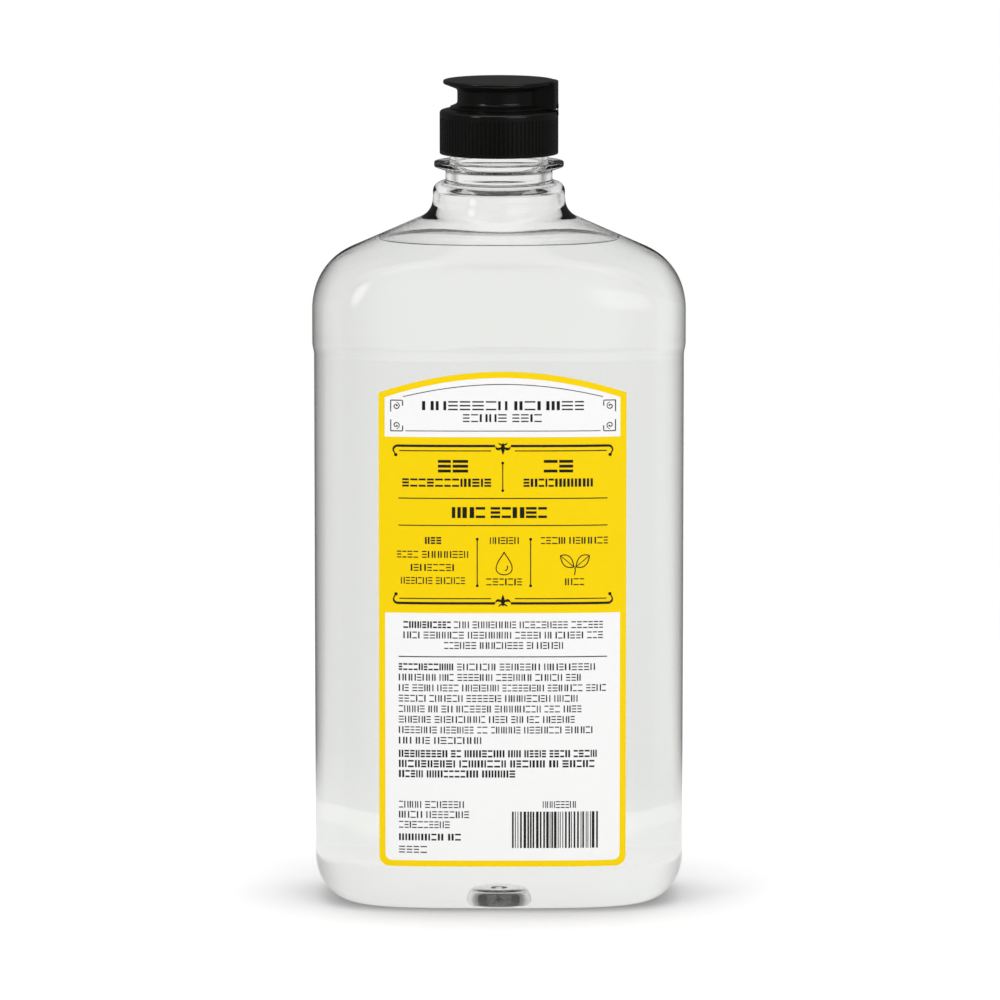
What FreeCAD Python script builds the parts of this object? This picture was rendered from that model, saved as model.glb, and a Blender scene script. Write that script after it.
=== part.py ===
import FreeCAD, Part
import math
import os
import Sketcher

# Dish soap bottle: a blown clear bottle with a 28 mm screw neck, its soap, a self-adhesive label
# and a screw-on flip-top cap. Millimetres, +Z up, the origin is the middle of the standing base.
# The label faces -Y, and the cap's hinge is at +X.

doc = FreeCAD.newDocument("soap_bottle")

SIZES = {
    # Blown body
    "body_width": 95.1,
    "body_depth": 54.6,
    "body_squareness": 3.6,  # exponent of the superellipse that the body is in plan
    "base_curve_height": 11.5,
    "base_curve_side": 10.5,  # how far the base curve draws the sides in
    "base_curve_front": 7.0,  # the same at the front and back
    "panel_height": 129.1,
    "panel_recess": 0.45,  # the label panel lies this far inside the roll above it
    "panel_step_height": 3.2,
    "roll_height": 8.6,
    "body_wall": 0.6,
    # Shoulder
    "shoulder_radius": 15.8,
    "shoulder_slope": 24.5,  # degrees below the horizontal
    "flare_radius": 5.3,
    "collar_step": 0.06,  # the mould line where the body meets the neck
    # Pushed-up base
    "push_up_radius": 16.6,
    "push_up_height": 4.4,
    "push_up_ledge_radius": 11.4,
    "push_up_ledge_width": 2.2,
    "push_up_ledge_height": 2.2,
    "push_up_crown_radius": 6.4,
    "gate_radius": 2.0,
    "gate_slope": 0.9,
    "gate_drop": 0.9,
    # Neck
    "collar_radius": 16.8,
    "collar_height": 4.3,
    "collar_rounding": 2.4,
    "neck_radius": 13.6,
    "neck_length": 2.9,
    "neck_wall": 1.7,
    "bore_radius": 10.9,
    "ring_radius": 16.5,
    "ring_slope_height": 1.0,
    "ring_tip_thickness": 1.2,
    "finish_radius": 12.55,
    "finish_height": 11.2,
    # Screw thread, shared by the neck and the cap
    "thread_pitch": 4.233,
    "neck_thread_turns": 1.5,
    "cap_thread_turns": 1.0,
    "thread_height": 1.15,
    "thread_root_width": 2.0,
    "thread_tip_width": 0.9,
    "thread_root_sink": 0.3,  # how far the ridge is rooted in the wall that carries it
    "thread_start": 2.6,  # from the rim down to the middle of the last turn
    "thread_flank_clearance": 0.3,
    "thread_tip_clearance": 0.3,
    # Soap
    "fill_drop": 10.4,  # from the top of the flare down to the surface
    "soap_clearance": 0.05,
    # Label
    "label_width": 62.6,
    "label_shift": 0.9,
    "label_margin_bottom": 0.6,
    "label_margin_top": 1.8,
    "label_arch_rise": 5.5,
    "label_corner_radius": 2.6,
    "label_thickness": 0.1,
    "label_adhesive": 0.08,
    # Liner
    "liner_thickness": 1.0,
    "liner_clearance": 0.05,
    "liner_hole_radius": 5.0,
    "liner_edge_clearance": 0.5,
    # Cap
    "cap_radius": 15.1,
    "cap_foot_gap": 2.0,  # from the support ring up to the skirt
    "skirt_clearance": 0.35,
    "skirt_foot_rounding": 0.3,
    "deck_thickness": 1.3,
    "deck_edge_drop": 0.6,
    "deck_flat_radius": 12.8,
    "deck_rounding": 0.8,
    "rib_count": 84,
    "rib_groove_depth": 0.26,
    "rib_groove_width": 0.56,
    "rib_groove_floor": 0.2,
    "rib_margin_bottom": 0.9,
    "rib_margin_top": 1.7,
    "orifice_radius": 1.7,
    "nozzle_radius": 3.4,
    "nozzle_height": 2.0,
    "snap_ring_height": 0.9,
    "snap_ring_wall": 1.1,
    "snap_clearance": 0.15,
    # Flip lid
    "lid_gap": 0.12,
    "lid_height": 7.2,
    "lid_radius": 14.2,
    "lid_edge": 0.9,
    "lid_edge_rounding": 0.4,
    "lid_underside": 2.3,  # from the top down to where the underside meets the waist
    "lid_top_thickness": 1.4,
    "lid_wall": 1.2,
    "waist_radius": 10.6,
    "waist_rounding": 1.0,
    "foot_radius": 12.4,
    "foot_height": 1.1,
    "foot_edge": 0.35,
    "plug_clearance": 0.12,
    "plug_depth": 1.6,  # how far the plug reaches into the nozzle
    "plug_taper": 0.5,
    # Living hinge
    "hinge_block_width": 11.0,
    "hinge_block_drop": 0.3,  # from the lid's top down to the block's
    "hinge_offset": 0.1,  # from the cap's side out to the hinge line
    "strap_width": 6.0,
    "strap_thickness": 0.35,
    "strap_seat_depth": 0.3,
    "strap_reach": 1.3,  # how far the strap runs up the lid and down the cap
    "strap_clearance": 0.1,
}

sheet = doc.addObject("Spreadsheet::Sheet", "Sizes")
for row, (alias, number) in enumerate(SIZES.items(), start=1):
    sheet.set("A%d" % row, alias)
    sheet.set("B%d" % row, str(number))
    sheet.setAlias("B%d" % row, alias)
doc.recompute()


class Size:
    """A length worked out from the sheet, with the formula that ties it to the sheet's cells."""

    def __init__(self, value, formula):
        self.value = float(value)
        self.formula = formula

    def _with(self, sign, other, value):
        return Size(value, "(%s %s %s)" % (self.formula, sign, other.formula))

    def __add__(self, other):
        return self._with("+", other, self.value + other.value)

    def __sub__(self, other):
        return self._with("-", other, self.value - other.value)

    def __mul__(self, other):
        return self._with("*", other, self.value * other.value)

    def __truediv__(self, other):
        return self._with("/", other, self.value / other.value)

    def __neg__(self):
        return Size(-self.value, "(-%s)" % self.formula)


def cell(alias):
    return Size(sheet.get(alias), "Sizes." + alias)


def plain(number):
    return Size(number, repr(float(number)))


def half(size):
    return size / plain(2)


def tangent(degrees):
    return Size(math.tan(math.radians(degrees.value)), "tan(%s * 1 deg)" % degrees.formula)


def sine(degrees):
    return Size(math.sin(math.radians(degrees.value)), "sin(%s * 1 deg)" % degrees.formula)


ZERO = plain(0)
OVERRUN = plain(1)  # how far a cutter runs past the surface that it cuts

# Heights of the blown body, from the base up.
body_half_width = half(cell("body_width"))
body_half_depth = half(cell("body_depth"))
panel_bottom = cell("base_curve_height")
panel_top = panel_bottom + cell("panel_height")
roll_bottom = panel_top + cell("panel_step_height")
roll_top = roll_bottom + cell("roll_height")
bend = tangent(half(plain(90) - cell("shoulder_slope")))
shoulder_bend = cell("shoulder_radius") * bend
flare_bend = cell("flare_radius") * bend
lower_corner = roll_top + shoulder_bend
slope_bottom = lower_corner + shoulder_bend * sine(cell("shoulder_slope"))
slope_rise = (body_half_width - cell("collar_radius")) * tangent(cell("shoulder_slope"))
upper_corner = lower_corner + slope_rise
slope_top = upper_corner - flare_bend * sine(cell("shoulder_slope"))
flare_top = upper_corner + flare_bend
soap_top = flare_top - cell("fill_drop")

# Heights of the neck.
collar_top = flare_top + cell("collar_height")
ring_bottom = collar_top + cell("neck_length")
ring_tip_bottom = ring_bottom + cell("ring_slope_height")
ring_top = ring_tip_bottom + cell("ring_tip_thickness")
rim_top = ring_top + cell("finish_height")
thread_top = rim_top - cell("thread_start")
thread_bottom = thread_top - cell("neck_thread_turns") * cell("thread_pitch")
thread_major_radius = cell("finish_radius") + cell("thread_height")

# Heights and radii of the liner, the cap and the lid, which stand on the rim.
liner_bottom = rim_top + cell("liner_clearance")
liner_top = liner_bottom + cell("liner_thickness")
deck_bottom = liner_top + cell("liner_clearance")
deck_top = deck_bottom + cell("deck_thickness")
deck_edge_top = deck_top - cell("deck_edge_drop")
skirt_bottom = ring_top + cell("cap_foot_gap")
skirt_inner_radius = thread_major_radius + cell("skirt_clearance")
cap_thread_radius = cell("finish_radius") + cell("thread_tip_clearance")
flank_offset = half(cell("thread_root_width") + cell("thread_tip_width")) + cell("thread_flank_clearance")
nozzle_top = deck_top + cell("nozzle_height")
lid_bottom = deck_top + cell("lid_gap")
lid_top = deck_top + cell("lid_height")
lid_ceiling = lid_top - cell("lid_top_thickness")
lid_inner_radius = cell("waist_radius") - cell("lid_wall")
snap_ring_radius = lid_inner_radius - cell("snap_clearance")
snap_ring_top = deck_top + cell("snap_ring_height")
hinge_x = cell("cap_radius") + cell("hinge_offset")
hinge_z = half(deck_edge_top + lid_bottom)
strap_seat = cell("cap_radius") - cell("strap_seat_depth")


def bind(thing, prop, size):
    thing.setExpression(prop, size.formula)


def new_body(name):
    body = doc.addObject("PartDesign::Body", name)
    body.Label = name
    return body


def new_sketch(body, name, plane, height=ZERO):
    """A sketch on one of its body's origin planes, raised along that plane's normal."""
    sketch = body.newObject("Sketcher::SketchObject", name)
    sketch.AttachmentSupport = [(next(f for f in body.Origin.OriginFeatures if f.Role == plane), "")]
    sketch.MapMode = "FlatFace"
    bind(sketch, "AttachmentOffset.Base.z", height)
    return sketch


def pin(sketch, geometry, end, point):
    """Ties one end of a line or arc to the sheet, measured from the sketch's origin."""
    for kind, axis, size in (("DistanceX", -2, point[0]), ("DistanceY", -1, point[1])):
        if size is ZERO:
            sketch.addConstraint(Sketcher.Constraint("PointOnObject", geometry, end, axis))
        else:
            number = sketch.addConstraint(Sketcher.Constraint(kind, -1, 1, geometry, end, size.value))
            sketch.setExpression("Constraints[%d]" % number, size.formula)


def join(sketch, geometry, following):
    sketch.addConstraint(Sketcher.Constraint("Coincident", geometry, 2, following, 1))


def draw_line(sketch, start, end):
    places = [FreeCAD.Vector(point[0].value, point[1].value, 0) for point in (start, end)]
    line = sketch.addGeometry(Part.LineSegment(*places), False)
    pin(sketch, line, 1, start)
    return line


def draw_arc(sketch, start, end, middle, radius):
    """An arc whose ends are held by its neighbours, and its bend by the radius."""
    places = [FreeCAD.Vector(point[0].value, point[1].value, 0) for point in (start, middle, end)]
    arc = sketch.addGeometry(Part.ArcOfCircle(*places), False)
    number = sketch.addConstraint(Sketcher.Constraint("Radius", arc, radius.value))
    sketch.setExpression("Constraints[%d]" % number, radius.formula)
    return arc


def draw_outline(sketch, points):
    """A closed outline of straight lines through the points."""
    lines = [draw_line(sketch, point, points[(i + 1) % len(points)]) for i, point in enumerate(points)]
    for i, line in enumerate(lines):
        join(sketch, line, lines[(i + 1) % len(lines)])


def turned_body(name, points):
    """A body turned about the Z axis from an outline of (radius, height) points."""
    body = new_body(name)
    sketch = new_sketch(body, name + "_section", "XZ_Plane")
    draw_outline(sketch, points)
    turn = body.newObject("PartDesign::Revolution", name + "_turned")
    turn.Profile = sketch
    turn.ReferenceAxis = (sketch, ["V_Axis"])
    turn.Angle = 360
    doc.recompute()
    return body


def pocket(body, sketch, height):
    """Cuts upwards from a sketch, and makes sure that it cut something."""
    before = body.Shape.Volume
    cut = body.newObject("PartDesign::Pocket", sketch.Name + "_cut")
    cut.Profile = sketch
    cut.Reversed = True
    bind(cut, "Length", height)
    doc.recompute()
    if body.Shape.Volume >= before:
        raise RuntimeError(cut.Name + " cuts nothing")
    return cut


def round_edges(body, name, radius, places):
    """Rounds the circular edges that lie at the given (radius, height) places."""
    base = body.Tip
    names = []
    for number, edge in enumerate(base.Shape.Edges, start=1):
        if not isinstance(edge.Curve, Part.Circle):
            continue
        size, height = edge.Curve.Radius, edge.Curve.Center.z
        if any(abs(size - r.value) < 0.005 and abs(height - z.value) < 0.005 for r, z in places):
            names.append("Edge%d" % number)
    fillet = body.newObject("PartDesign::Fillet", name)
    fillet.Base = (base, names)
    bind(fillet, "Radius", radius)
    doc.recompute()


def add_thread(body, name, wall_radius, tip_radius, lowest, turns):
    """A helical ridge on a body, rooted a little inside the wall that carries it."""
    inwards = tip_radius.value < wall_radius.value
    sink = cell("thread_root_sink")
    root_radius = wall_radius + sink if inwards else wall_radius - sink
    root, tip = half(cell("thread_root_width")), half(cell("thread_tip_width"))
    sketch = new_sketch(body, name + "_section", "XZ_Plane")
    draw_outline(
        sketch,
        [
            (root_radius, lowest - root),
            (tip_radius, lowest - tip),
            (tip_radius, lowest + tip),
            (root_radius, lowest + root),
        ],
    )
    helix = body.newObject("PartDesign::AdditiveHelix", name)
    helix.Profile = sketch
    helix.ReferenceAxis = (sketch, ["V_Axis"])
    helix.Mode = "pitch-turns-angle"
    bind(helix, "Pitch", cell("thread_pitch"))
    bind(helix, "Turns", turns)
    doc.recompute()


def combine(kind, name, base, tool):
    """A boolean of two objects: Part::Cut, Part::Fuse or Part::Common."""
    result = doc.addObject(kind, name)
    result.Base = base
    result.Tool = tool
    result.Label = name
    doc.recompute()
    return result


# The body in plan is a superellipse at every level. Its half width and half depth follow the front
# and side outlines, and its exponent falls to 2, a circle, where the shoulder meets the neck.
PLAN_POINTS = 48


def level_of_body(height):
    """Half width, half depth and exponent of the outside of the body at a height."""
    radius, collar = cell("shoulder_radius").value, cell("collar_radius").value + cell("collar_step").value
    flare = cell("flare_radius").value
    if height >= slope_top.value:
        drop = flare_top.value - height
        half_width = collar + flare - math.sqrt(max(flare**2 - drop**2, 0))
    elif height >= slope_bottom.value:
        half_width = collar + (upper_corner.value - height) / tangent(cell("shoulder_slope")).value
    elif height >= roll_top.value:
        half_width = body_half_width.value - radius + math.sqrt(radius**2 - (height - roll_top.value) ** 2)
    else:
        half_width = body_half_width.value
    share = (half_width - collar) / (body_half_width.value - collar)
    half_depth = collar + (body_half_depth.value - collar) * share
    exponent = 2 + (cell("body_squareness").value - 2) * share
    step = (roll_bottom.value - height) / cell("panel_step_height").value
    step = min(max(step, 0), 1)
    recess = cell("panel_recess").value * step**2 * (3 - 2 * step)
    fall = max(1 - height / panel_bottom.value, 0)
    tuck = 1 - math.sqrt(max(1 - fall**2, 0))
    half_width -= recess + cell("base_curve_side").value * tuck
    half_depth -= recess + cell("base_curve_front").value * tuck
    return half_width, half_depth, exponent


def plan_wire(half_width, half_depth, exponent, height):
    """The superellipse at one height, as one closed spline."""
    places = []
    for i in range(PLAN_POINTS):
        angle = 2 * math.pi * i / PLAN_POINTS
        x, y = math.cos(angle), math.sin(angle)
        x = math.copysign(abs(x) ** (2 / exponent), x)
        y = math.copysign(abs(y) ** (2 / exponent), y)
        places.append(FreeCAD.Vector(x * half_width, y * half_depth, height))
    curve = Part.BSplineCurve()
    curve.interpolate(places, PeriodicFlag=True)
    return Part.Wire(curve.toShape())


def steps(low, high, count):
    """Evenly spaced heights from low up to, but not including, high."""
    return [low.value + (high.value - low.value) * i / count for i in range(count)]


def form_of_body(name, inset, neck_inset):
    """The body as one solid, drawn in by an inset that grows from the panel's wall to the neck's."""
    base = [panel_bottom.value * (1 - math.cos(math.radians(15 * i))) for i in range(7)]
    shoulder = steps(roll_top, slope_bottom, 6) + steps(slope_bottom, slope_top, 4)
    stretches = [
        base,
        [panel_bottom.value, panel_top.value],
        steps(panel_top, roll_bottom, 5) + [roll_bottom.value],
        [roll_bottom.value, roll_top.value],
        shoulder + steps(slope_top, flare_top, 6) + [flare_top.value],
    ]
    shape = None
    for heights in stretches:
        wires = []
        for height in heights:
            half_width, half_depth, exponent = level_of_body(height)
            rise = max((height - roll_top.value) / (flare_top.value - roll_top.value), 0)
            wall = inset.value + (neck_inset.value - inset.value) * rise**2
            lift = inset.value * max(1 - height / panel_bottom.value, 0)
            wires.append(plan_wire(half_width - wall, half_depth - wall, exponent, height + lift))
        loft = Part.makeLoft(wires, True, len(wires) == 2)
        shape = loft if shape is None else shape.fuse(loft)
    feature = doc.addObject("Part::Feature", name)
    feature.Shape = shape
    return feature


def push_up_body(name, wall):
    """The dome pushed up into the base, with the ledge and gate mark that the mould leaves."""
    ledge_outer = cell("push_up_ledge_radius") + wall
    ledge_inner = ledge_outer - cell("push_up_ledge_width")
    ledge = cell("push_up_ledge_height") + wall
    crown = cell("push_up_height") + wall
    gate = crown - cell("gate_drop")
    return turned_body(
        name,
        [
            (ZERO, -OVERRUN),
            (cell("push_up_radius") + wall, -OVERRUN),
            (cell("push_up_radius") + wall, wall),
            (ledge_outer, ledge),
            (ledge_inner, ledge),
            (cell("push_up_crown_radius") + wall, crown),
            (cell("gate_radius") + cell("gate_slope") - wall, crown),
            (cell("gate_radius") - wall, gate),
            (ZERO, gate),
        ],
    )


def make_bottle():
    finish = cell("finish_radius")
    neck = turned_body(
        "neck",
        [
            (ZERO, flare_top),
            (cell("collar_radius"), flare_top),
            (cell("collar_radius"), collar_top),
            (cell("neck_radius"), collar_top),
            (cell("neck_radius"), ring_bottom),
            (cell("ring_radius"), ring_tip_bottom),
            (cell("ring_radius"), ring_top),
            (finish, ring_top),
            (finish, rim_top),
            (ZERO, rim_top),
        ],
    )
    round_edges(neck, "collar_rounded", cell("collar_rounding"), [(cell("collar_radius"), collar_top)])
    add_thread(neck, "neck_thread", finish, thread_major_radius, thread_bottom, cell("neck_thread_turns"))
    collar_bore = cell("collar_radius") - cell("neck_wall")
    bore = turned_body(
        "neck_bore",
        [
            (ZERO, flare_top),
            (collar_bore, flare_top),
            (collar_bore, collar_top - cell("collar_rounding")),
            (cell("bore_radius"), collar_top),
            (cell("bore_radius"), rim_top + OVERRUN),
            (ZERO, rim_top + OVERRUN),
        ],
    )
    outside = form_of_body("outside", ZERO, ZERO)
    inside = form_of_body("inside", cell("body_wall"), cell("neck_wall"))
    solid = combine("Part::Fuse", "solid_with_neck", outside, neck)
    solid = combine("Part::Cut", "solid_with_base", solid, push_up_body("push_up_outside", ZERO))
    hollow = combine("Part::Cut", "hollow_body", inside, push_up_body("push_up_inside", cell("body_wall")))
    hollow = combine("Part::Fuse", "hollow_with_neck", hollow, bore)
    return combine("Part::Cut", "bottle", solid, hollow)


def make_soap():
    wall = cell("body_wall") + cell("soap_clearance")
    form = form_of_body("soap_form", wall, cell("neck_wall") + cell("soap_clearance"))
    filled = doc.addObject("Part::Box", "soap_space")
    bind(filled, "Length", cell("body_width"))
    bind(filled, "Width", cell("body_depth"))
    bind(filled, "Height", soap_top)
    bind(filled, "Placement.Base.x", -body_half_width)
    bind(filled, "Placement.Base.y", -body_half_depth)
    poured = combine("Part::Common", "soap_poured", form, filled)
    return combine("Part::Cut", "liquid_soap", poured, push_up_body("push_up_soap", wall))


def make_label():
    """A strip of film round the panel, cut to the label's outline."""
    strip = doc.addObject("Part::Feature", "label_strip")
    half_width, half_depth, exponent = level_of_body(panel_bottom.value)
    grown = [cell("label_adhesive").value, (cell("label_adhesive") + cell("label_thickness")).value]
    inner, outer = (
        Part.Face(plan_wire(half_width + g, half_depth + g, exponent, panel_bottom.value)) for g in grown
    )
    strip.Shape = outer.cut(inner).extrude(FreeCAD.Vector(0, 0, cell("panel_height").value))

    bottom = panel_bottom + cell("label_margin_bottom")
    crown = panel_top - cell("label_margin_top")
    side_top = crown - cell("label_arch_rise")
    left = cell("label_shift") - half(cell("label_width"))
    right = cell("label_shift") + half(cell("label_width"))
    rise, span = cell("label_arch_rise"), half(cell("label_width"))
    arch_radius = (span * span + rise * rise) / (plain(2) * rise)
    body = new_body("label_outline")
    sketch = new_sketch(body, "label_cut", "XZ_Plane")
    bottom_line = draw_line(sketch, (left, bottom), (right, bottom))
    right_line = draw_line(sketch, (right, bottom), (right, side_top))
    arch = draw_arc(sketch, (right, side_top), (left, side_top), (cell("label_shift"), crown), arch_radius)
    left_line = draw_line(sketch, (left, side_top), (left, bottom))
    pin(sketch, right_line, 2, (right, side_top))
    for line, following in ((bottom_line, right_line), (right_line, arch), (left_line, bottom_line)):
        join(sketch, line, following)
    sketch.addConstraint(Sketcher.Constraint("Coincident", arch, 2, left_line, 1))
    pad = body.newObject("PartDesign::Pad", "label_depth")
    pad.Profile = sketch
    bind(pad, "Length", body_half_depth + OVERRUN)
    doc.recompute()
    corners = []
    for number, edge in enumerate(pad.Shape.Edges, start=1):
        low = all(abs(v.Z - bottom.value) < 0.005 for v in edge.Vertexes)
        if low and abs(edge.tangentAt(edge.FirstParameter).y) > 0.99:
            corners.append("Edge%d" % number)
    fillet = body.newObject("PartDesign::Fillet", "label_corners")
    fillet.Base = (pad, corners)
    bind(fillet, "Radius", cell("label_corner_radius"))
    doc.recompute()
    return combine("Part::Common", "back_label", strip, body)


def make_liner():
    return turned_body(
        "cap_liner",
        [
            (cell("liner_hole_radius"), liner_bottom),
            (skirt_inner_radius - cell("liner_edge_clearance"), liner_bottom),
            (skirt_inner_radius - cell("liner_edge_clearance"), liner_top),
            (cell("liner_hole_radius"), liner_top),
        ],
    )


def cut_strap_seat(body, name, bottom, height):
    """A flat seat for the hinge strap, cut into the side at +X."""
    reach = half(cell("strap_width")) + cell("strap_clearance")
    outer = cell("cap_radius") + OVERRUN
    sketch = new_sketch(body, name, "XY_Plane", bottom)
    draw_outline(sketch, [(strap_seat, -reach), (outer, -reach), (outer, reach), (strap_seat, reach)])
    pocket(body, sketch, height)


def make_cap():
    radius, orifice = cell("cap_radius"), cell("orifice_radius")
    snap_ring_inner = snap_ring_radius - cell("snap_ring_wall")
    cap = turned_body(
        "cap_base",
        [
            (orifice, deck_bottom),
            (skirt_inner_radius, deck_bottom),
            (skirt_inner_radius, skirt_bottom),
            (radius, skirt_bottom),
            (radius, deck_edge_top),
            (cell("deck_flat_radius"), deck_top),
            (snap_ring_radius, deck_top),
            (snap_ring_radius, snap_ring_top),
            (snap_ring_inner, snap_ring_top),
            (snap_ring_inner, deck_top),
            (cell("nozzle_radius"), deck_top),
            (cell("nozzle_radius"), nozzle_top),
            (orifice, nozzle_top),
        ],
    )
    round_edges(cap, "deck_rounded", cell("deck_rounding"), [(radius, deck_edge_top)])
    round_edges(cap, "skirt_foot_rounded", cell("skirt_foot_rounding"), [(radius, skirt_bottom)])

    groove = new_sketch(cap, "rib_groove", "XY_Plane", skirt_bottom + cell("rib_margin_bottom"))
    mouth, floor = half(cell("rib_groove_width")), half(cell("rib_groove_floor"))
    bottom = radius - cell("rib_groove_depth")
    draw_outline(groove, [(bottom, -floor), (radius, -mouth), (radius + OVERRUN, -mouth),
                          (radius + OVERRUN, mouth), (radius, mouth), (bottom, floor)])
    ribbed = deck_edge_top - cell("rib_margin_top") - skirt_bottom - cell("rib_margin_bottom")
    cut = pocket(cap, groove, ribbed)
    ribs = cap.newObject("PartDesign::PolarPattern", "ribs")
    ribs.Originals = [cut]
    ribs.Axis = (groove, ["N_Axis"])
    ribs.Angle = 360
    bind(ribs, "Occurrences", cell("rib_count"))
    cap.Tip = ribs
    doc.recompute()

    seat_bottom = hinge_z - cell("strap_reach") - cell("strap_clearance")
    cut_strap_seat(cap, "cap_strap_seat", seat_bottom, deck_top - seat_bottom)
    lowest = thread_bottom + cell("thread_pitch") - flank_offset
    add_thread(cap, "cap_thread", skirt_inner_radius, cap_thread_radius, lowest, cell("cap_thread_turns"))
    return cap


def make_lid():
    waist, foot = cell("waist_radius"), cell("foot_radius")
    plug = cell("orifice_radius") - cell("plug_clearance")
    plug_bottom = nozzle_top - cell("plug_depth")
    underside = lid_top - cell("lid_underside")
    foot_top = lid_bottom + cell("foot_height")
    lid = turned_body(
        "cap_lid",
        [
            (ZERO, lid_top),
            (cell("lid_radius"), lid_top),
            (cell("lid_radius"), lid_top - cell("lid_edge")),
            (waist, underside),
            (waist, foot_top),
            (foot, lid_bottom + cell("foot_edge")),
            (foot, lid_bottom),
            (lid_inner_radius, lid_bottom),
            (lid_inner_radius, lid_ceiling),
            (plug, lid_ceiling),
            (plug, nozzle_top),
            (plug - cell("plug_taper"), plug_bottom),
            (ZERO, plug_bottom),
        ],
    )
    round_edges(lid, "waist_rounded", cell("waist_rounding"), [(waist, underside), (waist, foot_top)])
    edge = lid_top - cell("lid_edge")
    rim = [(cell("lid_radius"), lid_top), (cell("lid_radius"), edge)]
    round_edges(lid, "lid_edge_rounded", cell("lid_edge_rounding"), rim)

    block = new_sketch(lid, "hinge_block_plan", "XY_Plane", lid_bottom)
    side = half(cell("hinge_block_width"))
    inner, outer = waist - half(cell("lid_wall")), cell("cap_radius")
    arcs = []
    for radius in (inner, outer):
        reach = math.asin(side.value / radius.value)
        circle = Part.Circle(FreeCAD.Vector(), FreeCAD.Vector(0, 0, 1), radius.value)
        arc = block.addGeometry(Part.ArcOfCircle(circle, -reach, reach), False)
        block.addConstraint(Sketcher.Constraint("Coincident", arc, 3, -1, 1))
        number = block.addConstraint(Sketcher.Constraint("Radius", arc, radius.value))
        block.setExpression("Constraints[%d]" % number, radius.formula)
        for end, offset in ((1, -side), (2, side)):
            number = block.addConstraint(Sketcher.Constraint("DistanceY", -1, 1, arc, end, offset.value))
            block.setExpression("Constraints[%d]" % number, offset.formula)
        arcs.append(arc)
    for end in (1, 2):
        places = [block.getPoint(arc, end) for arc in arcs]
        line = block.addGeometry(Part.LineSegment(*places), False)
        block.addConstraint(Sketcher.Constraint("Coincident", line, 1, arcs[0], end))
        block.addConstraint(Sketcher.Constraint("Coincident", line, 2, arcs[1], end))
    pad = lid.newObject("PartDesign::Pad", "hinge_block")
    pad.Profile = block
    bind(pad, "Length", lid_top - cell("hinge_block_drop") - lid_bottom)
    doc.recompute()
    height = hinge_z + cell("strap_reach") + cell("strap_clearance") - lid_bottom
    cut_strap_seat(lid, "lid_strap_seat", lid_bottom, height)
    return lid


def make_strap():
    """The thin web that the lid bends on, lying flat in its two seats."""
    strap = doc.addObject("Part::Box", "hinge_web")
    bind(strap, "Length", cell("strap_thickness"))
    bind(strap, "Width", cell("strap_width"))
    bind(strap, "Height", plain(2) * cell("strap_reach"))
    bind(strap, "Placement.Base.x", strap_seat)
    bind(strap, "Placement.Base.y", -half(cell("strap_width")))
    bind(strap, "Placement.Base.z", hinge_z - cell("strap_reach"))
    doc.recompute()
    return strap


pieces = [make_bottle(), make_soap(), make_label(), make_liner(), make_cap(), make_lid(), make_strap()]
doc.recompute()

for thing in doc.Objects:
    if {"Invalid", "Error"} & set(thing.State):
        raise RuntimeError("%s could not be made: %s" % (thing.Name, thing.State))
for piece in pieces:
    if piece.Shape.isNull() or not piece.Shape.isValid() or len(piece.Shape.Solids) != 1:
        raise RuntimeError("%s is not one sound solid" % piece.Label)

os.makedirs("parts", exist_ok=True)
for piece in pieces:
    piece.Shape.exportStep("parts/%s.step" % piece.Label)
    box = piece.Shape.BoundBox
    print("%-12s %9.1f mm3  x %.2f..%.2f  y %.2f..%.2f  z %.2f..%.2f" % (
        piece.Label, piece.Shape.Volume, box.XMin, box.XMax, box.YMin, box.YMax, box.ZMin, box.ZMax))
print("hinge line at x %.2f, z %.2f" % (hinge_x.value, hinge_z.value))
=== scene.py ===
import math
import random

import bpy
import numpy as np
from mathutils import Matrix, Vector


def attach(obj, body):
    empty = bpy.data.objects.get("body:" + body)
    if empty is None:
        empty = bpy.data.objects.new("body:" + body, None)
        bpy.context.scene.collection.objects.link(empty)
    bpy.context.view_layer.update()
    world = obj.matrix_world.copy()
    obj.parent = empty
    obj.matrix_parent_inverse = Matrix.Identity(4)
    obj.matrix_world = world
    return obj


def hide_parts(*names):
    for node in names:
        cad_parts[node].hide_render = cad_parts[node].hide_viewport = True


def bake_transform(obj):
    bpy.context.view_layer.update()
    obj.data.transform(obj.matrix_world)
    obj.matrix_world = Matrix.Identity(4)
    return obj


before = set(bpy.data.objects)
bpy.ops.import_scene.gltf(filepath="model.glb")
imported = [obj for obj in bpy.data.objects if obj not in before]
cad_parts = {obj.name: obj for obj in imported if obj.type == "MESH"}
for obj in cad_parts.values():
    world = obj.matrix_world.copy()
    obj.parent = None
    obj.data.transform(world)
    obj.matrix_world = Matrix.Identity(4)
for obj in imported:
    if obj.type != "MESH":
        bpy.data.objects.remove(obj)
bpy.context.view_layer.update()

mm = 0.001
print("stage: frame loaded")


# Helpers that every piece uses. Forms are worked out in millimetres and kept in metres.
def meshObject(name, vertices, faces, material, sharpAngle=None):
    mesh = bpy.data.meshes.new(name)
    mesh.from_pydata([tuple(value * mm for value in vertex) for vertex in vertices], [], faces)
    mesh.materials.append(material)
    mesh.polygons.foreach_set("use_smooth", [True] * len(mesh.polygons))
    if sharpAngle is not None:
        mesh.set_sharp_from_angle(angle=math.radians(sharpAngle))
    thing = bpy.data.objects.new(name, mesh)
    bpy.context.scene.collection.objects.link(thing)
    return thing


def carriedBy(thing, body, slot, *replaced):
    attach(thing, body)
    if replaced:
        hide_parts(*replaced)
    return thing


def signedVolume(vertices, faces):  # below zero where the faces look inwards
    total = 0.0
    for face in faces:
        first = vertices[face[0]]
        for i in range(1, len(face) - 1):
            total += np.dot(first, np.cross(vertices[face[i]], vertices[face[i + 1]])) / 6
    return total


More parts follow.
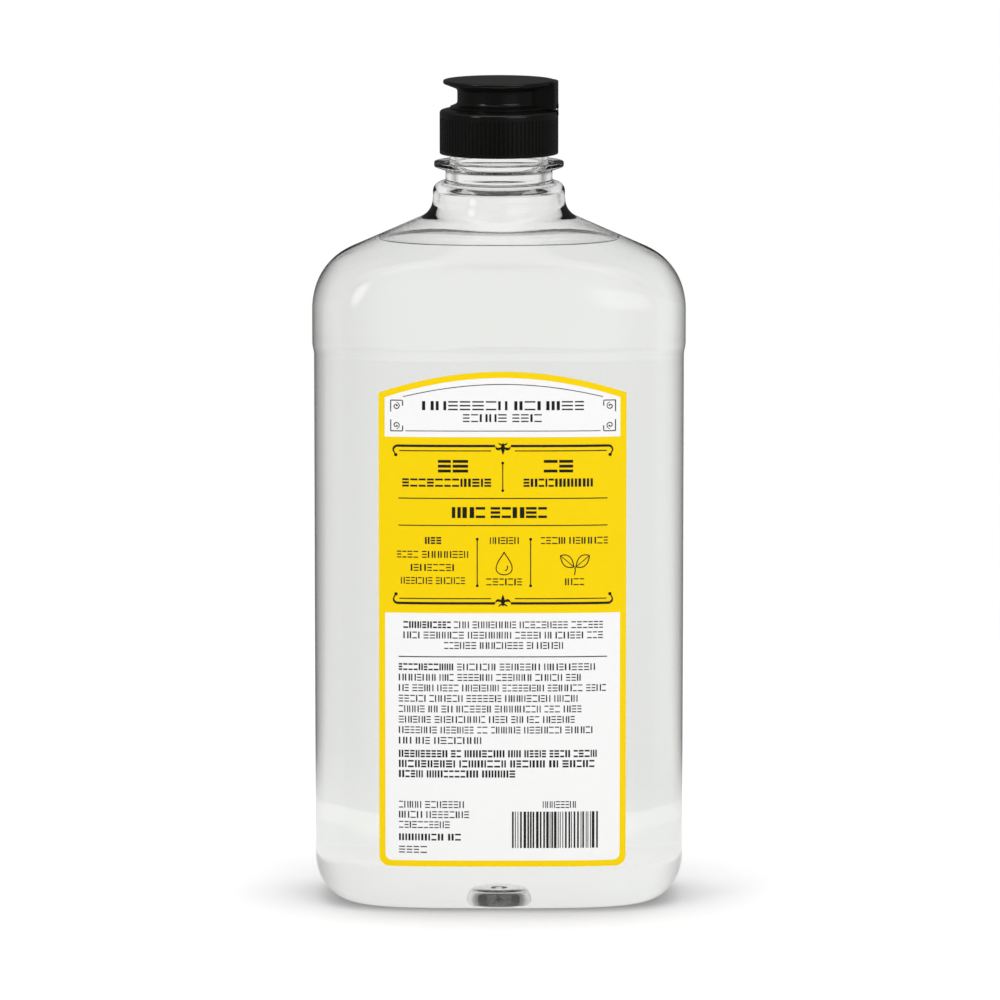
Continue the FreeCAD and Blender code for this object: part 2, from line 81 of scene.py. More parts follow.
def closeRows(rows):  # one closed skin from rings of equal length, with a single point at each end
    count = len(rows[1])
    vertices = [rows[0][0]]
    for row in rows[1:-1]:
        vertices.extend(row)
    vertices.append(rows[-1][0])
    last = len(vertices) - 1
    faces = []
    for i in range(count):
        j = (i + 1) % count
        faces.append((0, 1 + i, 1 + j))
        faces.append((last, last - count + j, last - count + i))
    for r in range(len(rows) - 3):
        low, high = 1 + r * count, 1 + (r + 1) * count
        for i in range(count):
            j = (i + 1) % count
            faces.append((low + i, high + i, high + j, low + j))
    vertices = [np.array(vertex, float) for vertex in vertices]
    if signedVolume(vertices, faces) < 0:
        faces = [tuple(reversed(face)) for face in faces]
    return vertices, faces


def softCorners(points, reaches, cuts=5):  # a profile whose corners are rounded within those reaches
    out = [points[0]]
    for i in range(1, len(points) - 1):
        before, corner, after = (np.array(points[k], float) for k in (i - 1, i, i + 1))
        start, end = before - corner, after - corner
        cut = min(reaches[i], np.linalg.norm(start) * 0.48, np.linalg.norm(end) * 0.48)
        if cut < 1e-6:
            out.append(tuple(corner))
            continue
        start = corner + start / np.linalg.norm(start) * cut
        end = corner + end / np.linalg.norm(end) * cut
        for k in range(cuts + 1):
            t = k / cuts
            out.append(tuple((1 - t) ** 2 * start + 2 * t * (1 - t) * corner + t * t * end))
    out.append(points[-1])
    return out


# The bottle's form repeats the sizes of the CAD part.
bottleSize = {
    "width": 95.1,
    "depth": 54.6,
    "squareness": 3.6,
    "baseHeight": 11.5,
    "baseSide": 10.5,
    "baseFront": 7.0,
    "panelTop": 140.6,
    "recess": 0.45,
    "recessRise": 3.2,
    "roll": 8.6,
    "shoulderRadius": 15.8,
    "shoulderSlope": 24.5,
    "flareRadius": 5.3,
    "collarStep": 0.06,
    "wall": 0.6,
    "neckWall": 1.7,
    "sides": 192,
}
domeSize = {
    "radius": 16.6,
    "height": 4.4,
    "ledgeRadius": 11.4,
    "ledgeWidth": 2.2,
    "ledgeHeight": 2.2,
    "crown": 6.4,
    "gate": 2.0,
    "gateSlope": 0.9,
    "gateDrop": 0.9,
    "softness": 0.7,
}
neckSize = {
    "collar": 16.8,
    "collarHeight": 4.3,
    "collarRounding": 2.4,
    "neck": 13.6,
    "neckLength": 2.9,
    "bore": 10.9,
    "ring": 16.5,
    "ringSlope": 1.0,
    "ringTip": 1.2,
    "finish": 12.55,
    "finishHeight": 11.2,
    "threadPitch": 4.233,
    "threadTurns": 1.5,
    "threadHeight": 1.15,
    "threadRoot": 2.0,
    "threadTip": 0.9,
    "threadStart": 2.6,
    "rowStep": 0.2,
}
slope = math.radians(bottleSize["shoulderSlope"])
bend = math.tan((math.pi / 2 - slope) / 2)
bottleHeights = {"rollBottom": bottleSize["panelTop"] + bottleSize["recessRise"]}
bottleHeights["rollTop"] = bottleHeights["rollBottom"] + bottleSize["roll"]
lowerCorner = bottleHeights["rollTop"] + bottleSize["shoulderRadius"] * bend
upperCorner = lowerCorner + (bottleSize["width"] / 2 - neckSize["collar"]) * math.tan(slope)
bottleHeights["slopeBottom"] = lowerCorner + bottleSize["shoulderRadius"] * bend * math.sin(slope)
bottleHeights["slopeTop"] = upperCorner - bottleSize["flareRadius"] * bend * math.sin(slope)
bottleHeights["flareTop"] = upperCorner + bottleSize["flareRadius"] * bend
bottleHeights["collarTop"] = bottleHeights["flareTop"] + neckSize["collarHeight"]
bottleHeights["ringBottom"] = bottleHeights["collarTop"] + neckSize["neckLength"]
bottleHeights["ringTip"] = bottleHeights["ringBottom"] + neckSize["ringSlope"]
bottleHeights["ringTop"] = bottleHeights["ringTip"] + neckSize["ringTip"]
bottleHeights["rim"] = bottleHeights["ringTop"] + neckSize["finishHeight"]


def levelOf(z):  # half width, half depth and exponent of the outside at a height
    s, h = bottleSize, bottleHeights
    halfWidth, halfDepth = s["width"] / 2, s["depth"] / 2
    collar = neckSize["collar"] + s["collarStep"]
    if z >= h["slopeTop"]:
        drop = h["flareTop"] - z
        width = collar + s["flareRadius"] - math.sqrt(max(s["flareRadius"] ** 2 - drop ** 2, 0))
    elif z >= h["slopeBottom"]:
        width = collar + (upperCorner - z) / math.tan(slope)
    elif z >= h["rollTop"]:
        width = halfWidth - s["shoulderRadius"] + math.sqrt(s["shoulderRadius"] ** 2 - (z - h["rollTop"]) ** 2)
    else:
        width = halfWidth
    share = (width - collar) / (halfWidth - collar)
    depth = collar + (halfDepth - collar) * share
    exponent = 2 + (s["squareness"] - 2) * share
    step = min(max((h["rollBottom"] - z) / s["recessRise"], 0), 1)
    recess = s["recess"] * step ** 2 * (3 - 2 * step)
    tuck = 1 - math.sqrt(max(1 - max(1 - z / s["baseHeight"], 0) ** 2, 0))
    return width - recess - s["baseSide"] * tuck, depth - recess - s["baseFront"] * tuck, exponent


def ring(width, depth, exponent, z):  # points spaced evenly along a superellipse, from +X towards +Y
    quarter = bottleSize["sides"] // 4
    t = np.linspace(0, math.pi / 2, 600)
    x = width * np.cos(t) ** (2 / exponent)
    y = depth * np.sin(t) ** (2 / exponent)
    run = np.concatenate([[0], np.cumsum(np.hypot(np.diff(x), np.diff(y)))])
    at = np.linspace(0, run[-1], quarter + 1)
    x, y = np.interp(at, run, x), np.interp(at, run, y)
    points = list(zip(x[:-1], y[:-1])) + list(zip(-x[:0:-1], y[:0:-1]))
    points += [(-a, -b) for a, b in points]
    return [(float(a), float(b), float(z)) for a, b in points]


def circleRow(radius, z):
    return ring(radius, radius, 2, z)


def heightsOfBody():  # rows above the base curve, closest where the form turns fastest
    s, h = bottleSize, bottleHeights
    out = list(np.linspace(s["baseHeight"], s["panelTop"], 14))[:-1]
    out += list(np.linspace(s["panelTop"], h["rollBottom"], 9))[:-1]
    out += list(np.linspace(h["rollBottom"], h["rollTop"], 4))[:-1]
    top = math.asin((h["slopeBottom"] - h["rollTop"]) / s["shoulderRadius"])
    out += [h["rollTop"] + s["shoulderRadius"] * math.sin(top * i / 16) for i in range(16)]
    out += list(np.linspace(h["slopeBottom"], h["slopeTop"], 7))[:-1]
    low = math.asin((h["flareTop"] - h["slopeTop"]) / s["flareRadius"])
    out += [h["flareTop"] - s["flareRadius"] * math.sin(low * (10 - i) / 10) for i in range(11)]
    return out


def wallAt(z, wall, neckWall):
    h = bottleHeights
    rise = max((z - h["rollTop"]) / (h["flareTop"] - h["rollTop"]), 0)
    return wall + (neckWall - wall) * rise ** 2


def domeProfile(wall):  # the pushed-up base from its middle to its standing edge, as radius and height
    d = domeSize
    crown, ledge = d["height"] + wall, d["ledgeHeight"] + wall
    points = [
        (0, crown - d["gateDrop"]),
        (d["gate"] - wall, crown - d["gateDrop"]),
        (d["gate"] + d["gateSlope"] - wall, crown),
        (d["crown"] + wall, crown),
        (d["ledgeRadius"] - d["ledgeWidth"] + wall, ledge),
        (d["ledgeRadius"] + wall, ledge),
        (d["radius"] + wall, wall),
    ]
    return softCorners(points, [d["softness"]] * len(points))


def bodyRows(wall, neckWall, highest=None):  # from the middle of the base up to the flare, or to highest
    s = bottleSize
    dome = domeProfile(wall)
    rows = [[(0, 0, dome[0][1])]] + [circleRow(radius, z) for radius, z in dome[1:]]
    width, depth, exponent = levelOf(0)
    inner, edge = rows[-1], ring(width - wall, depth - wall, exponent, wall)
    for share in (0.3, 0.65):
        rows.append([tuple((1 - share) * a + share * b for a, b in zip(p, q)) for p, q in zip(inner, edge)])
    for i in range(18):
        z = s["baseHeight"] * (1 - math.cos(math.radians(5 * i)))
        width, depth, exponent = levelOf(z)
        rows.append(ring(width - wall, depth - wall, exponent, z + wall * (1 - z / s["baseHeight"])))
    for z in heightsOfBody():
        if highest is not None and z >= highest:
            break
        inset = wallAt(z, wall, neckWall)
        width, depth, exponent = levelOf(z)
        rows.append(ring(width - inset, depth - inset, exponent, z))
    return rows


def threadRise(angle, z):  # how far the screw thread stands out of the neck
    n = neckSize
    bottom = bottleHeights["rim"] - n["threadStart"] - n["threadTurns"] * n["threadPitch"]
    end = 2 * math.pi * n["threadTurns"]
    best = 0.0
    for along in (angle, angle + 2 * math.pi):
        if along > end:
            continue
        centre = bottom + n["threadPitch"] * along / (2 * math.pi)
        flank = (n["threadRoot"] - n["threadTip"]) / 2
        share = min(max((n["threadRoot"] / 2 - abs(z - centre)) / flank, 0), 1)
        fade = max(min(1, along / 0.25, (end - along) / 0.25), 0)
        best = max(best, share * fade * n["threadHeight"])
    return best


def bottleRows():
    s, n, h = bottleSize, neckSize, bottleHeights
    shoulder = h["collarTop"] - n["collarRounding"]
    profile = [(n["collar"], h["flareTop"] + 0.1), (n["collar"], shoulder)]
    for angle in np.linspace(0.2, math.pi / 2, 7):
        out = n["collar"] - n["collarRounding"] * (1 - math.cos(angle))
        profile.append((out, shoulder + n["collarRounding"] * math.sin(angle)))
    neck = [
        profile[-1],
        (n["neck"], h["collarTop"]),
        (n["neck"], h["ringBottom"]),
        (n["ring"], h["ringTip"]),
        (n["ring"], h["ringTop"]),
        (n["finish"], h["ringTop"]),
        (n["finish"], h["ringTop"] + 1),
    ]
    profile += softCorners(neck, [0, 0.5, 0.4, 0.25, 0.25, 0.4, 0])[1:]
    rows = bodyRows(0, 0) + [circleRow(radius, z) for radius, z in profile]
    for z in np.arange(h["ringTop"] + 1.2, h["rim"] - 1, n["rowStep"]):
        row = []
        for i in range(s["sides"]):
            angle = 2 * math.pi * i / s["sides"]
            radius = n["finish"] + threadRise(angle, z)
            row.append((radius * math.cos(angle), radius * math.sin(angle), float(z)))
        rows.append(row)
    rim = [(n["finish"], h["rim"] - 1), (n["finish"], h["rim"]), (n["bore"], h["rim"]), (n["bore"], h["rim"] - 1)]
    collarBore = n["collar"] - s["neckWall"]
    bore = [(n["bore"], h["rim"] - 2), (n["bore"], h["collarTop"]), (collarBore, shoulder), (collarBore, h["flareTop"] + 0.1)]
    for radius, z in softCorners(rim, [0, 0.35, 0.35, 0]) + softCorners(bore, [0, 0.8, 0.6, 0]):
        rows.append(circleRow(radius, z))
    return rows + bodyRows(s["wall"], s["neckWall"])[::-1]


# Shader groups, which give only values that change over a surface.
def addNode(nodes, kind, settings=None, inputs=None):
    node = nodes.new(kind)
    for key, value in (settings or {}).items():
        setattr(node, key, value)
    for key, value in (inputs or {}).items():
        node.inputs[key].default_value = value
    return node


def shaderMath(tree, operation, *values):
    node = tree.nodes.new("ShaderNodeMath")
    node.operation = operation
    for i, value in enumerate(values):
        if isinstance(value, (int, float)):
            node.inputs[i].default_value = value
        else:
            tree.links.new(value, node.inputs[i])
    return node.outputs[0]


def makeWaves():  # low waves with fine grain on them, as a height
    group = bpy.data.node_groups.new("surfaceWaves", "ShaderNodeTree")
    for name, value in (("Wave Scale", 40.0), ("Grain Scale", 900.0), ("Grain Share", 0.1)):
        group.interface.new_socket(name, in_out="INPUT", socket_type="NodeSocketFloat").default_value = value
    group.interface.new_socket("Height", in_out="OUTPUT", socket_type="NodeSocketFloat")
    nodes, links = group.nodes, group.links
    entry, leave = nodes.new("NodeGroupInput"), nodes.new("NodeGroupOutput")
    place = nodes.new("ShaderNodeTexCoord")
    waves = addNode(nodes, "ShaderNodeTexNoise", inputs={"Detail": 1.0})
    grain = addNode(nodes, "ShaderNodeTexNoise", inputs={"Detail": 3.0})
    mix = addNode(nodes, "ShaderNodeMix", {"data_type": "FLOAT"})
    for texture, scale in ((waves, "Wave Scale"), (grain, "Grain Scale")):
        links.new(place.outputs["Object"], texture.inputs["Vector"])
        links.new(entry.outputs[scale], texture.inputs["Scale"])
    links.new(entry.outputs["Grain Share"], mix.inputs[0])
    links.new(waves.outputs["Fac"], mix.inputs[2])
    links.new(grain.outputs["Fac"], mix.inputs[3])
    links.new(mix.outputs[0], leave.inputs["Height"])
    return group


def makeBackdrop():  # level of the backdrop by direction: open behind, shaded off to the sides and upwards
    group = bpy.data.node_groups.new("backdropLevel", "ShaderNodeTree")
    sockets = (("Side Level", 0.35), ("Front Level", 1.0), ("Top Level", 0.4), ("Lean", 0.05))
    group.interface.new_socket("Direction", in_out="INPUT", socket_type="NodeSocketVector")
    for name, value in sockets:
        group.interface.new_socket(name, in_out="INPUT", socket_type="NodeSocketFloat").default_value = value
    group.interface.new_socket("Level", in_out="OUTPUT", socket_type="NodeSocketFloat")
    nodes, links = group.nodes, group.links
    entry, leave = nodes.new("NodeGroupInput"), nodes.new("NodeGroupOutput")
    unit = addNode(nodes, "ShaderNodeVectorMath", {"operation": "NORMALIZE"})
    flat = addNode(nodes, "ShaderNodeVectorMath", {"operation": "MULTIPLY"})
    flat.inputs[1].default_value = (1, 1, 0)
    level = addNode(nodes, "ShaderNodeVectorMath", {"operation": "NORMALIZE"})
    split, rise = nodes.new("ShaderNodeSeparateXYZ"), nodes.new("ShaderNodeSeparateXYZ")
    links.new(entry.outputs["Direction"], unit.inputs[0])
    links.new(unit.outputs["Vector"], flat.inputs[0])
    links.new(flat.outputs["Vector"], level.inputs[0])
    links.new(level.outputs["Vector"], split.inputs[0])
    links.new(unit.outputs["Vector"], rise.inputs[0])

    def fade(value, low, high, before, after):
        spread = addNode(nodes, "ShaderNodeMapRange", {"interpolation_type": "SMOOTHSTEP"})
        for name, number in zip(("From Min", "From Max", "To Min", "To Max"), (low, high, before, after)):
            if isinstance(number, str):
                links.new(entry.outputs[number], spread.inputs[name])
            else:
                spread.inputs[name].default_value = number
        links.new(value, spread.inputs["Value"])
        return spread.outputs["Result"]

    share = shaderMath(group, "ABSOLUTE", split.outputs["X"])
    sides = fade(share, 0.3, 0.85, 1.0, "Side Level")
    sides = shaderMath(group, "MAXIMUM", sides, fade(share, 0.82, 0.97, 0.0, 1.0))  # open again straight to the sides
    front = fade(split.outputs["Y"], -0.1, 0.4, "Front Level", 1.0)
    top = fade(rise.outputs["Z"], 0.45, 0.8, 1.0, "Top Level")
    lean = shaderMath(group, "MULTIPLY", split.outputs["X"], entry.outputs["Lean"])
    lean = shaderMath(group, "SUBTRACT", 1.0, lean)
    both = shaderMath(group, "MULTIPLY", shaderMath(group, "MULTIPLY", sides, front), top)
    links.new(shaderMath(group, "MULTIPLY", both, lean), leave.inputs["Level"])
    return group


def makeCard():  # a soft-edged card of light in one direction, as a level
    group = bpy.data.node_groups.new("softCard", "ShaderNodeTree")
    for name in ("Direction", "Towards", "Across", "Up"):
        group.interface.new_socket(name, in_out="INPUT", socket_type="NodeSocketVector")
    for name, value in (("Half Width", 0.2), ("Half Height", 0.2), ("Softness", 0.3), ("Roundness", 4.0)):
        group.interface.new_socket(name, in_out="INPUT", socket_type="NodeSocketFloat").default_value = value
    group.interface.new_socket("Level", in_out="OUTPUT", socket_type="NodeSocketFloat")
    nodes, links = group.nodes, group.links
    entry, leave = nodes.new("NodeGroupInput"), nodes.new("NodeGroupOutput")
    reaches = []
    for name in ("Towards", "Across", "Up"):
        product = addNode(nodes, "ShaderNodeVectorMath", {"operation": "DOT_PRODUCT"})
        links.new(entry.outputs["Direction"], product.inputs[0])
        links.new(entry.outputs[name], product.inputs[1])
        reaches.append(product.outputs["Value"])
    ahead = shaderMath(group, "MAXIMUM", reaches[0], 0.001)
    total = 0.0
    for reach, half in zip(reaches[1:], ("Half Width", "Half Height")):
        share = shaderMath(group, "DIVIDE", shaderMath(group, "ABSOLUTE", reach), ahead)
        share = shaderMath(group, "DIVIDE", share, entry.outputs[half])
        total = shaderMath(group, "ADD", shaderMath(group, "POWER", share, entry.outputs["Roundness"]), total)
    edge = shaderMath(group, "POWER", total, shaderMath(group, "DIVIDE", 1.0, entry.outputs["Roundness"]))
    spread = addNode(nodes, "ShaderNodeMapRange", {"interpolation_type": "SMOOTHSTEP"}, {"To Min": 1.0, "To Max": 0.0})
    links.new(edge, spread.inputs["Value"])
    links.new(shaderMath(group, "SUBTRACT", 1.0, entry.outputs["Softness"]), spread.inputs["From Min"])
    links.new(shaderMath(group, "ADD", 1.0, entry.outputs["Softness"]), spread.inputs["From Max"])
    facing = shaderMath(group, "GREATER_THAN", reaches[0], 0.0)
    links.new(shaderMath(group, "MULTIPLY", spread.outputs["Result"], facing), leave.inputs["Level"])
    return group


wavesGroup, backdropGroup, cardGroup = makeWaves(), makeBackdrop(), makeCard()


def newMaterial(name):
    material = bpy.data.materials.new(name)
    material.use_nodes = True
    material.node_tree.nodes.clear()
    return material, material.node_tree


def addBump(tree, waves):  # waves: wave scale, grain scale, grain share, strength, distance
    group = addNode(tree.nodes, "ShaderNodeGroup", {"node_tree": wavesGroup})
    for name, value in zip(("Wave Scale", "Grain Scale", "Grain Share"), waves):
        group.inputs[name].default_value = value
    bump = addNode(tree.nodes, "ShaderNodeBump", inputs={"Strength": waves[3], "Distance": waves[4]})
    tree.links.new(group.outputs["Height"], bump.inputs["Height"])
    return bump


def clearMaterial(name, look):  # clear stuff that lets the lamps through to what lies behind it
    material, tree = newMaterial(name)
    nodes, links = tree.nodes, tree.links
    shader = addNode(nodes, "ShaderNodeBsdfPrincipled", inputs={"Metallic": 0.0, "Transmission Weight": 1.0})
    shader.inputs["Base Color"].default_value = (*look["color"], 1)
    shader.inputs["Roughness"].default_value = look["roughness"]
    shader.inputs["IOR"].default_value = look["ior"]
    links.new(addBump(tree, look["waves"]).outputs["Normal"], shader.inputs["Normal"])
    path = nodes.new("ShaderNodeLightPath")
    clear = addNode(nodes, "ShaderNodeBsdfTransparent", inputs={"Color": (*look["shadow"], 1)})
    mix = nodes.new("ShaderNodeMixShader")
    out = nodes.new("ShaderNodeOutputMaterial")
    links.new(path.outputs["Is Shadow Ray"], mix.inputs["Fac"])
    links.new(shader.outputs[0], mix.inputs[1])
    links.new(clear.outputs[0], mix.inputs[2])
    links.new(mix.outputs[0], out.inputs["Surface"])
    return material


def solidMaterial(name, look):  # plastic, film or foam, a little lighter in patches
    material, tree = newMaterial(name)
    nodes, links = tree.nodes, tree.links
    shader = addNode(nodes, "ShaderNodeBsdfPrincipled", inputs={"Metallic": 0.0, "IOR": 1.5})
    shader.inputs["Roughness"].default_value = look["roughness"]
    shader.inputs["Specular IOR Level"].default_value = look["specular"]
    place = nodes.new("ShaderNodeTexCoord")
    patches = addNode(nodes, "ShaderNodeTexNoise", inputs={"Scale": look["patches"], "Detail": 4.0})
    tone = addNode(nodes, "ShaderNodeMix", {"data_type": "RGBA"})
    tone.inputs[6].default_value = (*look["color"], 1)
    tone.inputs[7].default_value = (*look["lighter"], 1)
    links.new(place.outputs["Object"], patches.inputs["Vector"])
    links.new(patches.outputs["Fac"], tone.inputs[0])
    links.new(tone.outputs[2], shader.inputs["Base Color"])
    links.new(addBump(tree, look["waves"]).outputs["Normal"], shader.inputs["Normal"])
    if "backing" in look:  # the glued side, which faces the bottle
        turned = nodes.new("ShaderNodeSeparateXYZ")
        links.new(place.outputs["Normal"], turned.inputs[0])
        glued = addNode(nodes, "ShaderNodeMix", {"data_type": "RGBA"})
        glued.inputs[7].default_value = (*look["backing"], 1)
        links.new(shaderMath(tree, "GREATER_THAN", turned.outputs["Y"], 0.3), glued.inputs[0])
        links.new(tone.outputs[2], glued.inputs[6])
        links.new(glued.outputs[2], shader.inputs["Base Color"])
    out = nodes.new("ShaderNodeOutputMaterial")
    links.new(shader.outputs[0], out.inputs["Surface"])
    return material


looks = {
    "clearPlastic": {
        "color": (0.976, 0.98, 0.972),
        "shadow": (0.86, 0.865, 0.86),
        "roughness": 0.0,
        "ior": 1.5,
        "waves": (38, 700, 0.01, 0.3, 0.0006),
    },
    "soap": {
        "color": (0.985, 0.99, 0.976),
        "shadow": (0.9, 0.9, 0.89),
        "roughness": 0.0,
        "ior": 1.37,
        "waves": (25, 300, 0.0, 0.1, 0.0003),
    },
    "blackPlastic": {
        "color": (0.004, 0.004, 0.0038),
        "lighter": (0.008, 0.008, 0.0075),
        "roughness": 0.18,
        "specular": 0.5,
        "patches": 70.0,
        "waves": (160, 2600, 0.25, 0.12, 0.0002),
    },
    "yellowFilm": {
        "backing": (0.93, 0.93, 0.91),
        "color": (0.945, 0.665, 0.0),
        "lighter": (0.96, 0.68, 0.001),
        "roughness": 0.45,
        "specular": 0.12,
        "patches": 30.0,
        "waves": (90, 3000, 0.5, 0.08, 0.0001),
    },
    "whitePrint": {
        "color": (0.93, 0.93, 0.93),
        "lighter": (0.945, 0.945, 0.945),
        "roughness": 0.45,
        "specular": 0.15,
        "patches": 30.0,
        "waves": (90, 3000, 0.5, 0.08, 0.0001),
    },
    "blackInk": {
        "color": (0.010, 0.010, 0.009),
        "lighter": (0.016, 0.016, 0.014),
        "roughness": 0.55,
        "specular": 0.2,
        "patches": 400.0,
        "waves": (90, 3000, 0.5, 0.08, 0.0001),
    },
    "linerFoam": {
        "color": (0.82, 0.82, 0.8),
        "lighter": (0.88, 0.88, 0.86),
        "roughness": 0.75,
        "specular": 0.3,
        "patches": 500.0,
        "waves": (300, 1800, 0.8, 0.5, 0.0002),
    },
}
clearPlastic = clearMaterial("clear_plastic", looks["clearPlastic"])
soapStuff = clearMaterial("soap", looks["soap"])
blackPlastic = solidMaterial("black_plastic", looks["blackPlastic"])
yellowFilm = solidMaterial("label_yellow", looks["yellowFilm"])
whitePrint = solidMaterial("label_white", looks["whitePrint"])
blackInk = solidMaterial("label_ink", looks["blackInk"])
linerFoam = solidMaterial("liner_foam", looks["linerFoam"])
print("stage: materials")

# The blown bottle with its neck, and the soap in it.
soapSize = {"drop": 10.4, "overlap": 0.05, "climb": 0.5, "reach": 2.0}
bottle = meshObject("bottle_wall", *closeRows(bottleRows()), clearPlastic, sharpAngle=50)
carriedBy(bottle, "bottle", "clear_plastic", "bottle")
print("stage: bottle", len(bottle.data.polygons), "faces")


def soapRows():
    wall = bottleSize["wall"] - soapSize["overlap"]
    neckWall = bottleSize["neckWall"] - soapSize["overlap"]
    top = bottleHeights["flareTop"] - soapSize["drop"]
    rows = bodyRows(wall, neckWall, top)
    inset = wallAt(top, wall, neckWall)
    for i in range(8):  # the surface climbs the wall in a soft hollow
        share = i / 7
        rise, back = soapSize["climb"] * (1 - share) ** 3, soapSize["reach"] * share ** 1.5
        width, depth, exponent = levelOf(top + rise)
        rows.append(ring(width - inset - back, depth - inset - back, exponent, top + rise))
    width, depth, exponent = levelOf(top)
    rows.append(ring(width / 2, depth / 2, exponent, top))
    return rows + [[(0, 0, top)]]


soap = meshObject("soap_fill", *closeRows(soapRows()), soapStuff, sharpAngle=50)
carriedBy(soap, "bottle", "soap", "liquid_soap")
print("stage: soap", len(soap.data.polygons), "faces")

# The label: a yellow film with two white areas, laid round the panel. Its heights run from the base.
labelSize = {
    "left": -30.4,
    "right": 32.2,
    "bottom": 12.1,
    "crown": 138.8,
    "archRise": 5.5,
    "corner": 2.6,
    "border": 1.57,
    "headerBottom": 122.2,
    "lowerTop": 77.3,
    "gap": 0.08,
    "film": 0.1,
    "whiteInk": 0.015,
    "blackInk": 0.035,
    "sunk": 0.02,
}
filmLift = labelSize["gap"] + labelSize["film"]
panelLevel = levelOf(bottleSize["baseHeight"])


def panelPoint(x, z, lift):  # a point in front of the panel that carries the label
    width, depth, exponent = panelLevel
    return (x, -(depth + lift) * (1 - (abs(x) / (width + lift)) ** exponent) ** (1 / exponent), z)


def archAt(x, inset=0.0):  # height of the label's top edge, drawn in by inset
    s = labelSize
    half, centre = (s["right"] - s["left"]) / 2, (s["right"] + s["left"]) / 2
    radius = (half ** 2 + s["archRise"] ** 2) / (2 * s["archRise"])
    return s["crown"] - radius + math.sqrt((radius - inset) ** 2 - (x - centre) ** 2)


def cornerAt(x, left, right, bottom, corner):  # height of a bottom edge with two round corners
    near = min(x - left, right - x, corner)
    return bottom + corner - math.sqrt(max(corner ** 2 - (corner - near) ** 2, 0))


def panelArea(left, right, bottomAt, topAt, low, high, corner=0.0):  # a thin closed sheet on the panel
    turns = [corner * (1 - math.cos(angle)) for angle in np.linspace(0, math.pi / 2, 9)] if corner else [0.0]
    middle = np.linspace(left + corner, right - corner, int((right - left) / 1.5))
    columns = [left + turn for turn in turns] + list(middle[1:-1]) + [right - turn for turn in turns[::-1]]
    levels, count = 3, len(columns)
    vertices, faces = [], []
    for lift in (low, high):
        for x in columns:
            bottom, top = bottomAt(x), topAt(x)
            vertices += [panelPoint(x, bottom + (top - bottom) * k / levels, lift) for k in range(levels + 1)]

    def at(side, i, k):
        return (side * count + i) * (levels + 1) + k

    for i in range(count - 1):
        for k in range(levels):
            faces.append((at(1, i, k), at(1, i + 1, k), at(1, i + 1, k + 1), at(1, i, k + 1)))
            faces.append((at(0, i, k + 1), at(0, i + 1, k + 1), at(0, i + 1, k), at(0, i, k)))
        faces.append((at(0, i, 0), at(0, i + 1, 0), at(1, i + 1, 0), at(1, i, 0)))
        faces.append((at(1, i, levels), at(1, i + 1, levels), at(0, i + 1, levels), at(0, i, levels)))
    for k in range(levels):
        faces.append((at(0, 0, k + 1), at(0, 0, k), at(1, 0, k), at(1, 0, k + 1)))
        faces.append((at(0, count - 1, k), at(0, count - 1, k + 1), at(1, count - 1, k + 1), at(1, count - 1, k)))
    return vertices, faces


def joined(parts):  # several meshes as one list of vertices and one of faces
    vertices, faces = [], []
    for partVertices, partFaces in parts:
        faces += [tuple(i + len(vertices) for i in face) for face in partFaces]
        vertices += list(partVertices)
    return vertices, faces


def filmArea():
    s = labelSize
    foot = lambda x: cornerAt(x, s["left"], s["right"], s["bottom"], s["corner"])
    return panelArea(s["left"], s["right"], foot, archAt, s["gap"], filmLift, s["corner"])


def whiteAreas():
    s = labelSize
    left, right = s["left"] + s["border"], s["right"] - s["border"]
    low, high, corner = filmLift - s["sunk"], filmLift + s["whiteInk"], s["corner"] - s["border"] * 0.6
    header = panelArea(left, right, lambda x: s["headerBottom"], lambda x: archAt(x, s["border"]), low, high)
    foot = lambda x: cornerAt(x, left, right, s["bottom"] + s["border"], corner)
    return joined([header, panelArea(left, right, foot, lambda x: s["lowerTop"], low, high, corner)])


film = meshObject("label_film", *filmArea(), yellowFilm, sharpAngle=40)
carriedBy(film, "bottle", "label_film", "back_label")
carriedBy(meshObject("label_white_areas", *whiteAreas(), whitePrint, sharpAngle=40), "bottle", "label_film")
print("stage: label film")

# Lines, curls and small figures of the print, as thin strokes laid on the film.
printSize = {
    "thick": 0.62,
    "thin": 0.26,
    "hair": 0.2,
    "step": 1.2,
    "middle": 1.0,
    "ruleLeft": -25.4,
    "ruleRight": 27.4,
}


def stroke(points, widths, closed=False):  # a thin closed strip along points of the label, as wide as given
    low, high = filmLift - labelSize["sunk"], filmLift + labelSize["blackInk"]
    points = [np.array(point, float) for point in points]
    widths = [widths] * len(points) if isinstance(widths, (int, float)) else widths
    count = len(points)
    vertices = []
    for i, point in enumerate(points):
        before = points[i - 1] if i or closed else point
        after = points[(i + 1) % count] if i < count - 1 or closed else point
        along = after - before
        along = along / max(np.linalg.norm(along), 1e-9)
        side = np.array((-along[1], along[0])) * max(widths[i], 0.02) / 2
        for lift in (low, high):
            for place in (point + side, point - side):
                vertices.append(panelPoint(place[0], place[1], lift))
    faces = []
    for i in range(count if closed else count - 1):
        a, b = 4 * i, 4 * ((i + 1) % count)
        faces += [(a + 2, a + 3, b + 3, b + 2), (a + 1, a, b, b + 1), (a, a + 2, b + 2, b), (a + 3, a + 1, b + 1, b + 3)]
    if not closed:
        end = 4 * (count - 1)
        faces += [(0, 1, 3, 2), (end + 1, end, end + 2, end + 3)]
    return vertices, faces


def rule(left, right, z, width):
    return stroke([(x, z) for x in np.linspace(left, right, max(int((right - left) / printSize["step"]), 2))], width)


def upright(x, low, high, width):
    return stroke([(x, z) for z in np.linspace(low, high, 4)], width)


